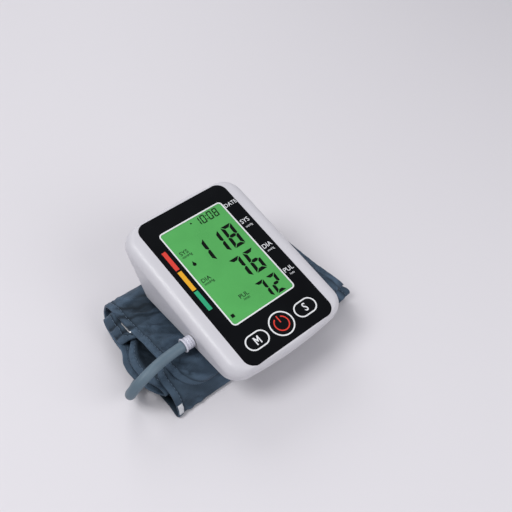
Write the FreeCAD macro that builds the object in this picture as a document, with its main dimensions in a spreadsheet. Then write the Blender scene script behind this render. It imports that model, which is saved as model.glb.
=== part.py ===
"""Upper-arm blood pressure monitor lying on its rolled cuff, as a parametric FreeCAD document.

Millimetres, +Z up, X to the monitor's right, Y to its rear. The origin is on the resting surface,
under the middle of the casing and cuff. Three frames are used:
  floor  the document's own axes
  base   level with the casing's underside, its origin below the panel's front edge
  panel  in the plane of the sloping front panel, its origin at the middle of the panel's front edge
"""
import FreeCAD, Part
import math
import operator
import os

import Sketcher

Vector = FreeCAD.Vector
Rotation = FreeCAD.Rotation
Placement = FreeCAD.Placement

SIZES = {
    # where the monitor and the cuff lie
    "unit_x": 6.0,
    "unit_y": -62.93,
    "tilt": 14.6,
    "front_drop": 13.2,
    "rest_gap": 0.2,
    "fit_gap": 0.15,
    # casing
    "casing_width": 98.0,
    "front_margin": 3.0,
    "rear_margin": 4.4,
    "shoulder_depth": 8.0,
    "side_round": 8.0,
    "front_round": 2.2,
    "rear_round": 2.8,
    "corner_radius": 14.0,
    "crown_corner": 9.0,
    "front_bow": 300.0,
    "rear_bow": 340.0,
    "skirt_depth": 50.0,
    "side_draft": 2.6,
    "rear_undercut": 34.0,
    "wall": 2.2,
    "roof": 2.2,
    "ceiling_inset": 2.0,
    "parting_height": 6.6,
    "seam": 0.2,
    "overlap": 0.3,
    "base_edge_radius": 2.5,
    # front panel, display and buttons
    "running_gap": 0.05,
    "panel_width": 74.0,
    "panel_length": 125.3,
    "panel_corner": 7.5,
    "panel_thickness": 1.5,
    "frame_width": 53.3,
    "frame_front_gap": 28.9,
    "frame_rear_gap": 13.2,
    "frame_line": 0.95,
    "frame_corner": 3.0,
    "frame_x": -0.4,
    "frame_proud": 0.12,
    "glass_sink": 0.3,
    "glass_thickness": 2.2,
    "backlight_thickness": 3.0,
    "carrier_wall": 1.3,
    "strip_inset": 2.7,
    "strip_length": 40.0,
    "strip_width": 2.0,
    "button_y": 13.3,
    "button_x": 20.8,
    "pill_length": 17.6,
    "pill_width": 11.5,
    "power_diameter": 18.0,
    "bezel_line": 0.95,
    "key_gap": 0.2,
    "key_proud": 0.3,
    "key_flange": 1.0,
    "board_depth": 8.5,
    "board_thickness": 1.6,
    "board_side_gap": 0.3,
    "board_rear_gap": 5.5,
    "board_front": 2.0,
    "switch_width": 6.0,
    "switch_height": 2.5,
    "well_depth": 1.9,
    "plunger_entry": 0.9,
    "plunger_diameter": 3.4,
    "board_post_inset": 3.0,
    "board_post_edge": 3.5,
    "board_post_diameter": 5.0,
    "board_screw": 2.0,
    "board_head": 1.2,
    "board_bite": 3.6,
    "chip_size": 10.0,
    "chip_height": 1.2,
    "chip_x": 8.0,
    "chip_y": 24.0,
    "buzzer_diameter": 9.0,
    "buzzer_height": 3.2,
    "buzzer_x": 22.0,
    "buzzer_rear_gap": 9.5,
    "sensor_size": 6.4,
    "sensor_height": 5.6,
    "sensor_reach": 5.0,
    # air socket, plug and tube
    "socket_bay_gap": 5.0,
    "socket_height": 8.6,
    "socket_diameter": 9.5,
    "socket_bore": 4.6,
    "plug_diameter": 10.4,
    "plug_length": 9.6,
    "tube_diameter": 7.2,
    # pump, valve and battery bay
    "pump_diameter": 19.6,
    "motor_diameter": 18.0,
    "motor_length": 24.0,
    "head_length": 13.0,
    "pump_side_gap": 13.6,
    "pump_bay_gap": 4.0,
    "pump_height": 13.1,
    "nozzle_diameter": 3.0,
    "nozzle_length": 1.8,
    "nozzle_reach": 4.2,
    "hose_diameter": 4.8,
    "sleeve_inset": 2.0,
    "valve_length": 13.0,
    "valve_low": 4.6,
    "socket_sink": 0.7,
    "plug_gap": 0.1,
    "manifold_shift": 2.4,
    "manifold_bay_gap": 6.0,
    "manifold_size": 8.0,
    "manifold_top": 2.6,
    "cell_diameter": 10.3,
    "cell_length": 44.5,
    "cell_pitch": 10.9,
    "cell_count": 4,
    "bay_rear_gap": 26.2,
    "bay_end_room": 4.6,
    "bay_wall": 1.4,
    "bay_height": 13.0,
    "cell_height": 7.6,
    "contact_thickness": 0.4,
    "contact_width": 8.6,
    "nub_length": 0.8,
    "nub_diameter": 3.8,
    "spring_diameter": 6.4,
    "spring_wire": 0.6,
    "door_step": 1.0,
    "door_thickness": 2.0,
    "door_tongue": 1.2,
    "door_reach": 5.0,
    "grip_edge": 23.0,
    "grip_pitch": 1.8,
    "grip_width": 0.8,
    "grip_height": 0.35,
    "grip_length": 18.0,
    "cradle_front": 3.0,
    "cradle_rear": 10.0,
    # screws and feet
    "screw_inset": 8.0,
    "screw_front_y": 15.0,
    "screw_rear_gap": 27.5,
    "screw_diameter": 2.8,
    "screw_tip": 12.0,
    "boss_diameter": 6.6,
    "boss_step": 1.0,
    "screw_head": 5.2,
    "head_height": 1.8,
    "head_recess": 3.0,
    "foot_diameter": 9.0,
    "foot_proud": 0.9,
    "foot_recess": 0.8,
    "foot_inset": 15.0,
    "foot_front_y": 10.0,
    "foot_rear_gap": 36.5,
    # cuff
    "cuff_x": 2.0,
    "cuff_y": 6.0,
    "cuff_width": 150.0,
    "cuff_depth": 96.0,
    "wrap_height": 23.0,
    "wrap_wall": 2.6,
    "turn_shift": 4.0,
    "turn_depth": 84.0,
    "turn_height": 9.9,
    "turn_wall": 1.9,
    "turn_lift": 10.3,
    "flap_thickness": 1.3,
    "flap_gap": 0.15,
    "bladder_thickness": 1.0,
    "bladder_side_gap": 15.0,
    "bladder_width": 50.0,
    "bladder_y": -3.0,
    "cloth_gap": 0.15,
    "pad_side_gap": 20.0,
    "pad_margin": 4.0,
    "loop_front": -27.0,
    "loop_width": 44.0,
    "hook_width": 28.0,
    "flap_left_gap": 12.0,
    "flap_right_gap": 6.0,
    "flap_front": -30.5,
    "flap_rear": 42.0,
    "flap_corner": 14.0,
    "port_flange": 0.6,
    "ring_corner": 1.4,
    "tag_length": 3.6,
    "tag_width": 6.0,
    "tag_y": -38.4,
    "tag_height": 3.2,
    "tag_thickness": 0.6,
    "port_diameter": 7.2,
    "port_side_gap": 31.0,
    "port_y": -7.9,
    "port_length": 14.0,
    "ring_wire": 1.6,
    "ring_side_gap": 7.4,
    "ring_width": 11.0,
    "ring_y": 27.0,
    "ring_height": 22.0,
    "pad_depth": 0.7,
}

document = FreeCAD.newDocument("blood_pressure_monitor")
sheet = document.addObject("Spreadsheet::Sheet", "sizes")


class Size:
    """A number of the sheet, or one worked out from such numbers, with its expression."""

    def __init__(self, value, text):
        self.value = value
        self.text = text

    def __add__(self, other):
        return combine(self, "+", other, operator.add)

    def __radd__(self, other):
        return combine(other, "+", self, operator.add)

    def __sub__(self, other):
        return combine(self, "-", other, operator.sub)

    def __rsub__(self, other):
        return combine(other, "-", self, operator.sub)

    def __mul__(self, other):
        return combine(self, "*", other, operator.mul)

    def __rmul__(self, other):
        return combine(other, "*", self, operator.mul)

    def __truediv__(self, other):
        return combine(self, "/", other, operator.truediv)

    def __neg__(self):
        return combine(0, "-", self, operator.sub)


def number(size):
    return size.value if isinstance(size, Size) else float(size)


def expression(size):
    return size.text if isinstance(size, Size) else str(size)


def combine(left, sign, right, work):
    text = "(" + expression(left) + " " + sign + " " + expression(right) + ")"
    return Size(work(number(left), number(right)), text)


def root(size):
    return Size(math.sqrt(number(size)), "sqrt(" + expression(size) + ")")


def sine(angle):
    return Size(math.sin(math.radians(number(angle))), "sin(" + expression(angle) + ")")


def cosine(angle):
    return Size(math.cos(math.radians(number(angle))), "cos(" + expression(angle) + ")")


def fill_sheet():
    """Write each driving dimension into the sheet and give its cell the same name."""
    for row, (name, value) in enumerate(SIZES.items(), start=1):
        sheet.set("A" + str(row), name)
        sheet.set("B" + str(row), str(value))
        sheet.setAlias("B" + str(row), name)
    document.recompute()
    return {name: Size(float(value), "sizes." + name) for name, value in SIZES.items()}


S = fill_sheet()
TILT = S["tilt"]
HALF_WIDTH = S["casing_width"] / 2
CUFF_TOP = S["wrap_height"] + S["flap_gap"] + S["flap_thickness"]
BASE_Z = CUFF_TOP + S["rest_gap"] + S["foot_proud"]
FRAMES = {
    "floor": (0, 0, 0, 0),
    "base": (S["unit_x"], S["unit_y"], BASE_Z, 0),
    "panel": (S["unit_x"], S["unit_y"], BASE_Z + S["front_drop"], TILT),
}
CROWN_STEPS = 3
GRIP_COUNT = 3
KEYS = (
    ("memory", -1, "pill"),
    ("power", 0, "round"),
    ("set", 1, "pill"),
)
FRAME_LENGTH = S["panel_length"] - S["frame_front_gap"] - S["frame_rear_gap"]
FRAME_Y = S["frame_front_gap"] + FRAME_LENGTH / 2
SCREW_X = HALF_WIDTH - S["screw_inset"]
SCREW_REAR_Y = S["panel_length"] - S["screw_rear_gap"]
FOOT_X = HALF_WIDTH - S["foot_inset"]
FOOT_REAR_Y = S["panel_length"] - S["foot_rear_gap"]
LOWER_BOSS = S["boss_diameter"] + S["boss_step"]
BAY_HALF = S["cell_pitch"] * S["cell_count"] / 2 + 2 * S["overlap"]
BAY_REAR = S["panel_length"] - S["bay_rear_gap"]
BAY_Y = BAY_REAR - S["cell_length"] - S["bay_end_room"]
BOARD_HALF = SCREW_X - LOWER_BOSS / 2 - S["board_side_gap"]
BOARD_REAR = BAY_Y - S["board_rear_gap"]
SOCKET_Y = BAY_Y - S["socket_bay_gap"]
PUMP_X = S["pump_side_gap"] - HALF_WIDTH
PUMP_Y = BAY_Y + S["pump_bay_gap"]
MANIFOLD_X = PUMP_X + S["manifold_shift"]
MANIFOLD_Y = BAY_Y - S["manifold_bay_gap"]
CUFF_LEFT = S["cuff_x"] - S["cuff_width"] / 2
CUFF_RIGHT = S["cuff_x"] + S["cuff_width"] / 2
PORT_X = CUFF_RIGHT - S["port_side_gap"]
TUBE_LEVEL = S["wrap_wall"] + S["fit_gap"] + S["tube_diameter"] / 2
parts = []


def bind(item, name, size):
    """Tie a property to the sheet, or set it where it is a plain number."""
    if isinstance(size, Size):
        item.setExpression(name, size.text)


def place(item, frame):
    x, y, z, angle = FRAMES[frame]
    base = Vector(number(x), number(y), number(z))
    item.Placement = Placement(base, Rotation(Vector(1, 0, 0), number(angle)))
    for axis, size in zip("xyz", (x, y, z)):
        bind(item, "Placement.Base." + axis, size)
    bind(item, "Placement.Rotation.Angle", angle)


def new_body(name, frame, blank=None):
    """A body for one sub-part, in one of the frames, that may start from a shared blank."""
    body = document.addObject("PartDesign::Body", name)
    body.Label = name
    if blank is not None:
        body.BaseFeature = blank
    place(body, frame)
    parts.append(body)
    return body


def origin_plane(body, role):
    return next(item for item in body.Origin.OriginFeatures if item.Role == role)


class Profile:
    """A sketch on an origin plane of its own body, each vertex tied to the sheet.

    lift moves it along its normal. A sloped profile, in a body of the base frame, lies in the plane
    of the front panel, with the panel frame's x and y.
    """

    def __init__(self, body, name, plane="XY_Plane", lift=0, sloped=False):
        self.body = body
        self.sketch = body.newObject("Sketcher::SketchObject", name)
        self.sketch.AttachmentSupport = [(origin_plane(body, plane), "")]
        self.sketch.MapMode = "FlatFace"
        if sloped:
            self.shift(0, -(lift * sine(TILT)), S["front_drop"] + lift * cosine(TILT), TILT)
        else:
            self.shift(0, 0, lift, 0)

    def shift(self, x, y, z, angle):
        base = Vector(number(x), number(y), number(z))
        turn = Rotation(Vector(1, 0, 0), number(angle))
        self.sketch.AttachmentOffset = Placement(base, turn)
        for axis, size in zip("xyz", (x, y, z)):
            bind(self.sketch, "AttachmentOffset.Base." + axis, size)
        bind(self.sketch, "AttachmentOffset.Rotation.Angle", angle)

    def fix(self, kind, places, size):
        index = self.sketch.addConstraint(Sketcher.Constraint(kind, *places, number(size)))
        bind(self.sketch, "Constraints[" + str(index) + "]", size)

    def fix_point(self, piece, end, x, y):
        self.fix("DistanceX", (-1, 1, piece, end), x)
        self.fix("DistanceY", (-1, 1, piece, end), y)

    def circle(self, x, y, radius):
        centre = Vector(number(x), number(y), 0)
        piece = self.sketch.addGeometry(Part.Circle(centre, Vector(0, 0, 1), number(radius)))
        self.fix_point(piece, 3, x, y)
        self.fix("Radius", (piece,), radius)
        return self

    def contour(self, corners):
        """Closed outline of (x, y) or (x, y, radius): a radius makes the next side an arc.

        The outline runs anticlockwise. A positive radius bulges outwards, a negative one inwards.
        """
        pieces = []
        for here, ahead in zip(corners, corners[1:] + corners[:1]):
            start = Vector(number(here[0]), number(here[1]), 0)
            end = Vector(number(ahead[0]), number(ahead[1]), 0)
            if len(here) == 2:
                pieces.append((self.sketch.addGeometry(Part.LineSegment(start, end)), 1, 2))
            else:
                pieces.append(self.arc(start, end, here[2]))
        for (piece, first, last), corner in zip(pieces, corners):
            self.fix_point(piece, first, corner[0], corner[1])
        for (piece, first, last), (other, opening, ending) in zip(pieces, pieces[1:] + pieces[:1]):
            self.sketch.addConstraint(Sketcher.Constraint("Coincident", piece, last, other, opening))
        return self

    def arc(self, start, end, radius):
        bulge = 1 if number(radius) > 0 else -1
        size = abs(number(radius))
        half = (end - start) * 0.5
        reach = math.sqrt(max(size ** 2 - half.Length ** 2, 0.0))
        centre = start + half + Vector(-half.y, half.x, 0).normalize() * bulge * reach
        first, last = (start, end) if bulge > 0 else (end, start)
        opening = math.atan2(first.y - centre.y, first.x - centre.x)
        closing = math.atan2(last.y - centre.y, last.x - centre.x)
        if closing <= opening:
            closing += 2 * math.pi
        circle = Part.Circle(centre, Vector(0, 0, 1), size)
        piece = self.sketch.addGeometry(Part.ArcOfCircle(circle, opening, closing))
        self.fix("Radius", (piece,), radius if bulge > 0 else -radius)
        return (piece, 1, 2) if bulge > 0 else (piece, 2, 1)

    def box(self, left, front, right, rear, radius=None):
        """Rectangle between two corners, with rounded corners where a radius is given."""
        if radius is None:
            return self.contour([(left, front), (right, front), (right, rear), (left, rear)])
        return self.contour([
            (left + radius, front), (right - radius, front, radius),
            (right, front + radius), (right, rear - radius, radius),
            (right - radius, rear), (left + radius, rear, radius),
            (left, rear - radius), (left, front + radius, radius),
        ])

    def pill(self, x, y, length, width):
        """Two half circles joined by straight sides along X, each half circle in two arcs."""
        radius = width / 2
        reach = length / 2 - radius
        return self.contour([
            (x - reach, y - radius), (x + reach, y - radius, radius),
            (x + reach + radius, y, radius), (x + reach, y + radius),
            (x - reach, y + radius, radius), (x - reach - radius, y, radius),
        ])


def add(kind, profile, suffix):
    feature = profile.body.newObject("PartDesign::" + kind, profile.sketch.Name + suffix)
    feature.Profile = profile.sketch
    return feature


def pad(profile, length, upward=True, both_ways=False):
    """Grow the profile along its normal, against it, or half each way."""
    feature = add("Pad", profile, "_pad")
    feature.Length = number(length)
    bind(feature, "Length", length)
    feature.Reversed = not upward
    if both_ways:
        feature.SideType = "Symmetric"
    return feature


def pocket(profile, depth, upward=False, both_ways=False):
    """Cut the profile out against its normal, along it, or half each way."""
    feature = add("Pocket", profile, "_pocket")
    feature.Length = number(depth)
    bind(feature, "Length", depth)
    feature.Reversed = upward
    if both_ways:
        feature.SideType = "Symmetric"
    return feature


def loft(profiles, straight=False):
    feature = add("AdditiveLoft", profiles[0], "_loft")
    feature.Sections = [profile.sketch for profile in profiles[1:]]
    feature.Ruled = straight
    return feature


def round_edges(feature, names, radius, kind="Fillet"):
    """Round or bevel the named edges of a body's last feature."""
    body = feature.getParentGeoFeatureGroup()
    finish = body.newObject("PartDesign::" + kind, feature.Name + "_" + kind.lower())
    finish.Base = (feature, names)
    prop = "Radius" if kind == "Fillet" else "Size"
    setattr(finish, prop, number(radius))
    bind(finish, prop, radius)
    return finish


def edges_where(feature, test):
    """Names of the edges whose every vertex passes the test, in the body's own axes."""
    document.recompute()
    names = []
    for index, edge in enumerate(feature.Shape.Edges, start=1):
        if edge.Vertexes and all(test(vertex.Point) for vertex in edge.Vertexes):
            names.append("Edge" + str(index))
    return names


def bowed_outline(half, low, high, corner):
    """Rounded rectangle whose front and rear sides bow outwards, tangent to its corners."""
    across = half - corner
    points = []
    for bow, middle, sign in ((S["front_bow"], low + S["front_bow"], -1),
                              (S["rear_bow"], high - S["rear_bow"], 1)):
        reach = root((bow - corner) * (bow - corner) - across * across) * sign
        stretch = bow / (bow - corner)
        points.append((across * stretch, middle + reach * stretch, middle + reach, bow))
    (front_x, front_y, front_corner, front_bow), (rear_x, rear_y, rear_corner, rear_bow) = points
    return [
        (-front_x, front_y, front_bow), (front_x, front_y, corner),
        (half, front_corner), (half, rear_corner, corner),
        (rear_x, rear_y, rear_bow), (-rear_x, rear_y, corner),
        (-half, rear_corner), (-half, front_corner, corner),
    ]


# ---------------------------------------------------------------- casing


def casing_section(body, name, depth, side, front, rear, corner, wall=0):
    """The casing's outline at a depth under the front panel, drawn in by the given insets."""
    half = HALF_WIDTH - side - wall
    low = front + wall - S["front_margin"]
    high = S["panel_length"] + S["rear_margin"] - rear - wall
    profile = Profile(body, name, lift=-depth, sloped=True)
    return profile.contour(bowed_outline(half, low, high, corner))


def crown_sections(body):
    """Sections down the rounded shoulder, whose quarter ellipse is wider at the sides."""
    profiles = []
    for step in range(CROWN_STEPS + 1):
        angle = math.pi / 2 * step / CROWN_STEPS
        inset = 1 - math.sin(angle)
        depth = S["shoulder_depth"] * round(1 - math.cos(angle), 6)
        corner = S["corner_radius"] - (S["corner_radius"] - S["crown_corner"]) * round(inset, 6)
        insets = [S[name] * round(inset, 6) for name in ("side_round", "front_round", "rear_round")]
        profiles.append(casing_section(body, "crown" + str(step), depth, *insets, corner))
    return profiles


def skirt_sections(body, name, wall):
    """The shoulder and the lower end of the drafted walls below it."""
    corner = S["corner_radius"] - wall
    upper = casing_section(body, name + "_top", S["shoulder_depth"], 0, 0, 0, corner, wall)
    lower = casing_section(body, name + "_end", S["skirt_depth"], S["side_draft"], 0,
                           S["rear_undercut"], corner, wall)
    return [upper, lower]


def cut_level(body, name, height, upward):
    """Remove everything above or below a level plane of a base frame body."""
    reach = S["casing_width"]
    profile = Profile(body, name, lift=height)
    profile.box(-reach, -reach, reach, S["panel_length"] + reach)
    return pocket(profile, S["panel_length"], upward=upward)


def make_casing_blank():
    """The closed hollow casing, before it is parted into its two shells."""
    form = document.addObject("PartDesign::Body", "casing_form")
    loft(crown_sections(form))
    loft(skirt_sections(form, "skirt", 0), straight=True)
    cut = cut_level(form, "underside", Size(0.0, "0"), upward=False)
    names = edges_where(cut, lambda point: abs(point.z) < 0.01)
    round_edges(cut, names, S["base_edge_radius"])
    cavity = document.addObject("PartDesign::Body", "casing_cavity")
    ceiling = casing_section(cavity, "ceiling", S["panel_thickness"] + S["roof"],
                             S["ceiling_inset"], S["ceiling_inset"] / 2, S["ceiling_inset"] / 2,
                             S["crown_corner"], S["wall"])
    upper, lower = skirt_sections(cavity, "inside", S["wall"])
    loft([ceiling, upper], straight=True)
    loft([upper, lower], straight=True)
    cut_level(cavity, "floor", S["wall"], upward=False)
    blank = document.addObject("Part::Cut", "casing_blank")
    blank.Base = form
    blank.Tool = cavity
    document.recompute()
    return blank


def key_outline(profile, shape, side, inset):
    x = S["button_x"] * side
    if shape == "round":
        return profile.circle(x, S["button_y"], S["power_diameter"] / 2 - inset)
    return profile.pill(x, S["button_y"], S["pill_length"] - 2 * inset, S["pill_width"] - 2 * inset)


def display_outline(profile, inset):
    half = S["frame_width"] / 2 - inset
    reach = FRAME_LENGTH / 2 - inset
    return profile.box(S["frame_x"] - half, FRAME_Y - reach,
                       S["frame_x"] + half, FRAME_Y + reach, S["frame_corner"] - inset)


def block(body, name, left, front, right, rear, bottom, top):
    """Rectangular block between two corners and two heights."""
    profile = Profile(body, name, lift=bottom).box(left, front, right, rear)
    return pad(profile, top - bottom)


def column(body, name, x, y, bottom, top, diameter):
    """Upright round post between two heights."""
    profile = Profile(body, name, lift=bottom).circle(x, y, diameter / 2)
    return pad(profile, top - bottom)


def bore(body, name, x, y, bottom, top, diameter):
    """Upright round hole between two heights."""
    profile = Profile(body, name, lift=bottom).circle(x, y, diameter / 2)
    return pocket(profile, top - bottom, upward=True)


def rod(body, name, start, end, y, z, diameter):
    """Round bar along X."""
    profile = Profile(body, name, plane="YZ_Plane", lift=start).circle(y, z, diameter / 2)
    return pad(profile, end - start)


def rod_bore(body, name, start, end, y, z, diameter):
    """Round hole along X."""
    profile = Profile(body, name, plane="YZ_Plane", lift=start).circle(y, z, diameter / 2)
    return pocket(profile, end - start, upward=True)


def shaft(body, name, x, start, end, z, diameter):
    """Round bar along Y."""
    profile = Profile(body, name, plane="XZ_Plane", lift=-start).circle(x, z, diameter / 2)
    return pad(profile, end - start, upward=False)


def shaft_bore(body, name, x, start, end, z, diameter):
    """Round hole along Y."""
    profile = Profile(body, name, plane="XZ_Plane", lift=-start).circle(x, z, diameter / 2)
    return pocket(profile, end - start)


def screw_places():
    for end, y in (("front", S["screw_front_y"]), ("rear", SCREW_REAR_Y)):
        for side, x in (("left", -SCREW_X), ("right", SCREW_X)):
            yield end + "_" + side, x, y


def board_places():
    post_x = BOARD_HALF - S["board_post_inset"]
    front = S["board_front"] + S["board_post_edge"]
    for end, y in (("front", front), ("rear", BOARD_REAR - S["board_post_edge"])):
        for side, x in (("left", -post_x), ("right", post_x)):
            yield end + "_" + side, x, y


def roof_height(y):
    """Height of the middle of the roof's thickness above a place on the floor."""
    middle = S["panel_thickness"] + S["roof"] / 2
    return S["front_drop"] + y * sine(TILT) / cosine(TILT) - middle / cosine(TILT)


def make_top_shell(blank):
    body = new_body("top_shell", "base", blank)
    cut_level(body, "parting", S["parting_height"] + S["seam"] / 2, upward=False)
    deep = 4 * S["panel_thickness"]
    recess = Profile(body, "panel_recess", lift=-S["panel_thickness"], sloped=True)
    recess.box(-S["panel_width"] / 2 - S["fit_gap"], -S["fit_gap"],
               S["panel_width"] / 2 + S["fit_gap"], S["panel_length"] + S["fit_gap"],
               S["panel_corner"] + S["fit_gap"])
    pocket(recess, deep, upward=True)
    window = Profile(body, "display_opening", lift=-deep, sloped=True)
    pocket(display_outline(window, S["frame_line"] - S["fit_gap"]), deep, upward=True)
    for name, side, shape in KEYS:
        hole = Profile(body, name + "_opening", lift=-deep, sloped=True)
        pocket(key_outline(hole, shape, side, S["bezel_line"]), deep, upward=True)
    inner = S["panel_thickness"] + S["roof"] - S["overlap"]
    for name, x, y in board_places():
        post = Profile(body, "board_post_" + name, lift=-S["board_depth"], sloped=True)
        pad(post.circle(x, y, S["board_post_diameter"] / 2), S["board_depth"] - inner)
    for name, x, y in board_places():
        pilot = Profile(body, "board_pilot_" + name, lift=-S["board_depth"], sloped=True)
        pilot.circle(x, y, S["board_screw"] / 2 + S["running_gap"])
        pocket(pilot, S["board_depth"] - inner - S["overlap"], upward=True)
    start = S["parting_height"] + S["seam"] / 2
    for name, x, y in screw_places():
        column(body, "boss_" + name, x, y, start, roof_height(y), S["boss_diameter"])
    for name, x, y in screw_places():
        bore(body, "pilot_" + name, x, y, start, S["screw_tip"] + S["fit_gap"],
             S["screw_diameter"] + 2 * S["running_gap"])
    rod_bore(body, "socket_opening", -HALF_WIDTH - S["wall"], -HALF_WIDTH + 2 * S["wall"],
             SOCKET_Y, S["socket_height"], S["socket_diameter"] + 2 * S["running_gap"])
    return body


def door_section(body, name, grow):
    """Stepped cross-section of the battery door, its side tongues above its outer face."""
    half = BAY_HALF + grow
    wing = half + S["door_tongue"]
    step = S["door_step"] - grow
    top = S["door_thickness"] + grow
    profile = Profile(body, name, plane="XZ_Plane", lift=-(BAY_Y + S["fit_gap"] - grow))
    return profile.contour([
        (-half, -grow), (half, -grow), (half, step), (wing, step),
        (wing, top), (-wing, top), (-wing, step), (-half, step),
    ])


def make_bottom_shell(blank):
    body = new_body("bottom_shell", "base", blank)
    cut_level(body, "parting", S["parting_height"] - S["seam"] / 2, upward=True)
    low = S["wall"] - S["overlap"]
    half = BAY_HALF + S["bay_wall"]
    land = half + S["door_tongue"]
    rear = BAY_REAR + S["bay_wall"]
    block(body, "door_land", -land, BAY_Y - S["bay_wall"], land, rear + S["door_reach"],
          low, S["door_thickness"] + S["bay_wall"])
    block(body, "bay_block", -half, BAY_Y - S["bay_wall"], half, rear,
          low, S["bay_height"] + S["bay_wall"])
    for name, x, y in screw_places():
        column(body, "boss_" + name, x, y, low, S["parting_height"] - S["seam"] / 2,
               LOWER_BOSS)
    for name, y in (("front", PUMP_Y + S["cradle_front"]), ("rear", PUMP_Y + S["cradle_rear"])):
        rib = Profile(body, "cradle_" + name, plane="XZ_Plane", lift=-y)
        across = S["pump_diameter"] / 2 + 2 * S["overlap"]
        saddle = S["pump_diameter"] / 2 + S["running_gap"]
        left, right = PUMP_X - across, PUMP_X + across
        rib.contour([
            (left, low), (right, low), (right, S["pump_height"]),
            (PUMP_X + saddle, S["pump_height"], -saddle),
            (PUMP_X, S["pump_height"] - saddle, -saddle),
            (PUMP_X - saddle, S["pump_height"]), (left, S["pump_height"]),
        ])
        pad(rib, S["wall"], upward=False)
    bay = Profile(body, "battery_bay", lift=-S["wall"])
    bay.box(-BAY_HALF, BAY_Y, BAY_HALF, BAY_REAR)
    pocket(bay, S["bay_height"] + S["wall"], upward=True)
    pocket(door_section(body, "door_groove", S["fit_gap"]), S["casing_width"])
    for name, x, y in screw_places():
        bore(body, "hole_" + name, x, y, -S["wall"], S["parting_height"] + S["wall"],
             S["screw_diameter"] + 2 * S["fit_gap"])
    for name, x, y in screw_places():
        bore(body, "head_hole_" + name, x, y, -S["wall"], S["head_recess"],
             S["screw_head"] + 2 * S["fit_gap"])
    for name, x, y in foot_places():
        bore(body, "foot_hole_" + name, x, y, -S["wall"], S["foot_recess"],
             S["foot_diameter"] + 2 * S["running_gap"])
    rod_bore(body, "socket_opening", -HALF_WIDTH - S["wall"], -HALF_WIDTH + 2 * S["wall"],
             SOCKET_Y, S["socket_height"], S["socket_diameter"] + 2 * S["running_gap"])
    return body


def foot_places():
    for end, y in (("front", S["foot_front_y"]), ("rear", FOOT_REAR_Y)):
        for side, x in (("left", -FOOT_X), ("right", FOOT_X)):
            yield end + "_" + side, x, y


def make_battery_door(form):
    """The plate follows the casing's underside and rear edge, with a tongue along each side."""
    tool = document.addObject("PartDesign::Body", "door_tool")
    pad(door_section(tool, "door_form", Size(0.0, "0")), S["casing_width"], upward=False)
    blank = document.addObject("Part::Common", "door_blank")
    blank.Base = form
    blank.Tool = tool
    document.recompute()
    body = new_body("battery_door", "base", blank)
    ridge = Profile(body, "door_grips", lift=-S["grip_height"])
    grip = S["grip_width"] / 2
    for step in range(GRIP_COUNT):
        y = S["panel_length"] - S["grip_edge"] + step * S["grip_pitch"]
        ridge.box(-S["grip_length"] / 2, y - grip, S["grip_length"] / 2, y + grip)
    pad(ridge, S["grip_height"] + S["overlap"])
    return body


# ---------------------------------------------------------------- front panel and keys


def make_front_panel():
    body = new_body("front_panel", "panel")
    plate = Profile(body, "panel_plate", lift=-S["panel_thickness"])
    plate.box(-S["panel_width"] / 2, 0, S["panel_width"] / 2, S["panel_length"], S["panel_corner"])
    pad(plate, S["panel_thickness"])
    window = Profile(body, "panel_window", lift=-S["panel_thickness"])
    pocket(display_outline(window, -S["fit_gap"] / 3), 2 * S["panel_thickness"], upward=True)
    for name, side, shape in KEYS:
        hole = Profile(body, name + "_hole", lift=-S["panel_thickness"])
        key_outline(hole, shape, side, -S["fit_gap"] / 3)
        pocket(hole, 2 * S["panel_thickness"], upward=True)
    return body


def make_display():
    frame = new_body("display_frame", "panel")
    ring = Profile(frame, "frame_ring", lift=-S["panel_thickness"])
    display_outline(ring, 0)
    display_outline(ring, S["frame_line"])
    pad(ring, S["panel_thickness"] + S["frame_proud"])
    glass = new_body("lcd_glass", "panel")
    bottom = -S["glass_sink"] - S["glass_thickness"]
    plate = Profile(glass, "glass_plate", lift=bottom)
    display_outline(plate, S["frame_line"] + S["fit_gap"] / 2)
    pad(plate, S["glass_thickness"])
    light = new_body("backlight_plate", "panel")
    guide = Profile(light, "light_guide", lift=bottom - S["backlight_thickness"])
    display_outline(guide, S["frame_line"] + S["fit_gap"] / 2 + S["carrier_wall"] / 2)
    pad(guide, S["backlight_thickness"])
    carrier = new_body("display_carrier", "panel")
    top = -S["panel_thickness"] - S["roof"] - S["running_gap"]
    floor = bottom - S["backlight_thickness"] - S["running_gap"]
    tray = Profile(carrier, "carrier_tray", lift=floor - S["carrier_wall"])
    display_outline(tray, -S["carrier_wall"])
    pad(tray, top - floor + S["carrier_wall"])
    well = Profile(carrier, "carrier_well", lift=floor)
    display_outline(well, S["frame_line"] + S["fit_gap"] / 2 + S["carrier_wall"] / 2 - S["running_gap"])
    pocket(well, top - floor, upward=True)
    slot = Profile(carrier, "strip_slot", lift=floor - 2 * S["carrier_wall"])
    strip_y = FRAME_Y - FRAME_LENGTH / 2 + S["strip_inset"]
    half = S["strip_length"] / 2
    wide = S["strip_width"] / 2
    slot.box(-half - S["fit_gap"], strip_y - wide - S["fit_gap"],
             half + S["fit_gap"], strip_y + wide + S["fit_gap"])
    pocket(slot, 3 * S["carrier_wall"], upward=True)
    strip = new_body("contact_strip", "panel")
    block(strip, "strip_bar", -half, strip_y - wide, half, strip_y + wide, -S["board_depth"],
          floor - S["running_gap"])
    return frame, glass, light, carrier, strip


def make_bezels():
    body = new_body("button_bezels", "panel")
    for name, side, shape in KEYS:
        ring = Profile(body, name + "_bezel", lift=-S["panel_thickness"])
        key_outline(ring, shape, side, 0)
        key_outline(ring, shape, side, S["bezel_line"])
        pad(ring, S["panel_thickness"] + S["frame_proud"])
    return body


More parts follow.
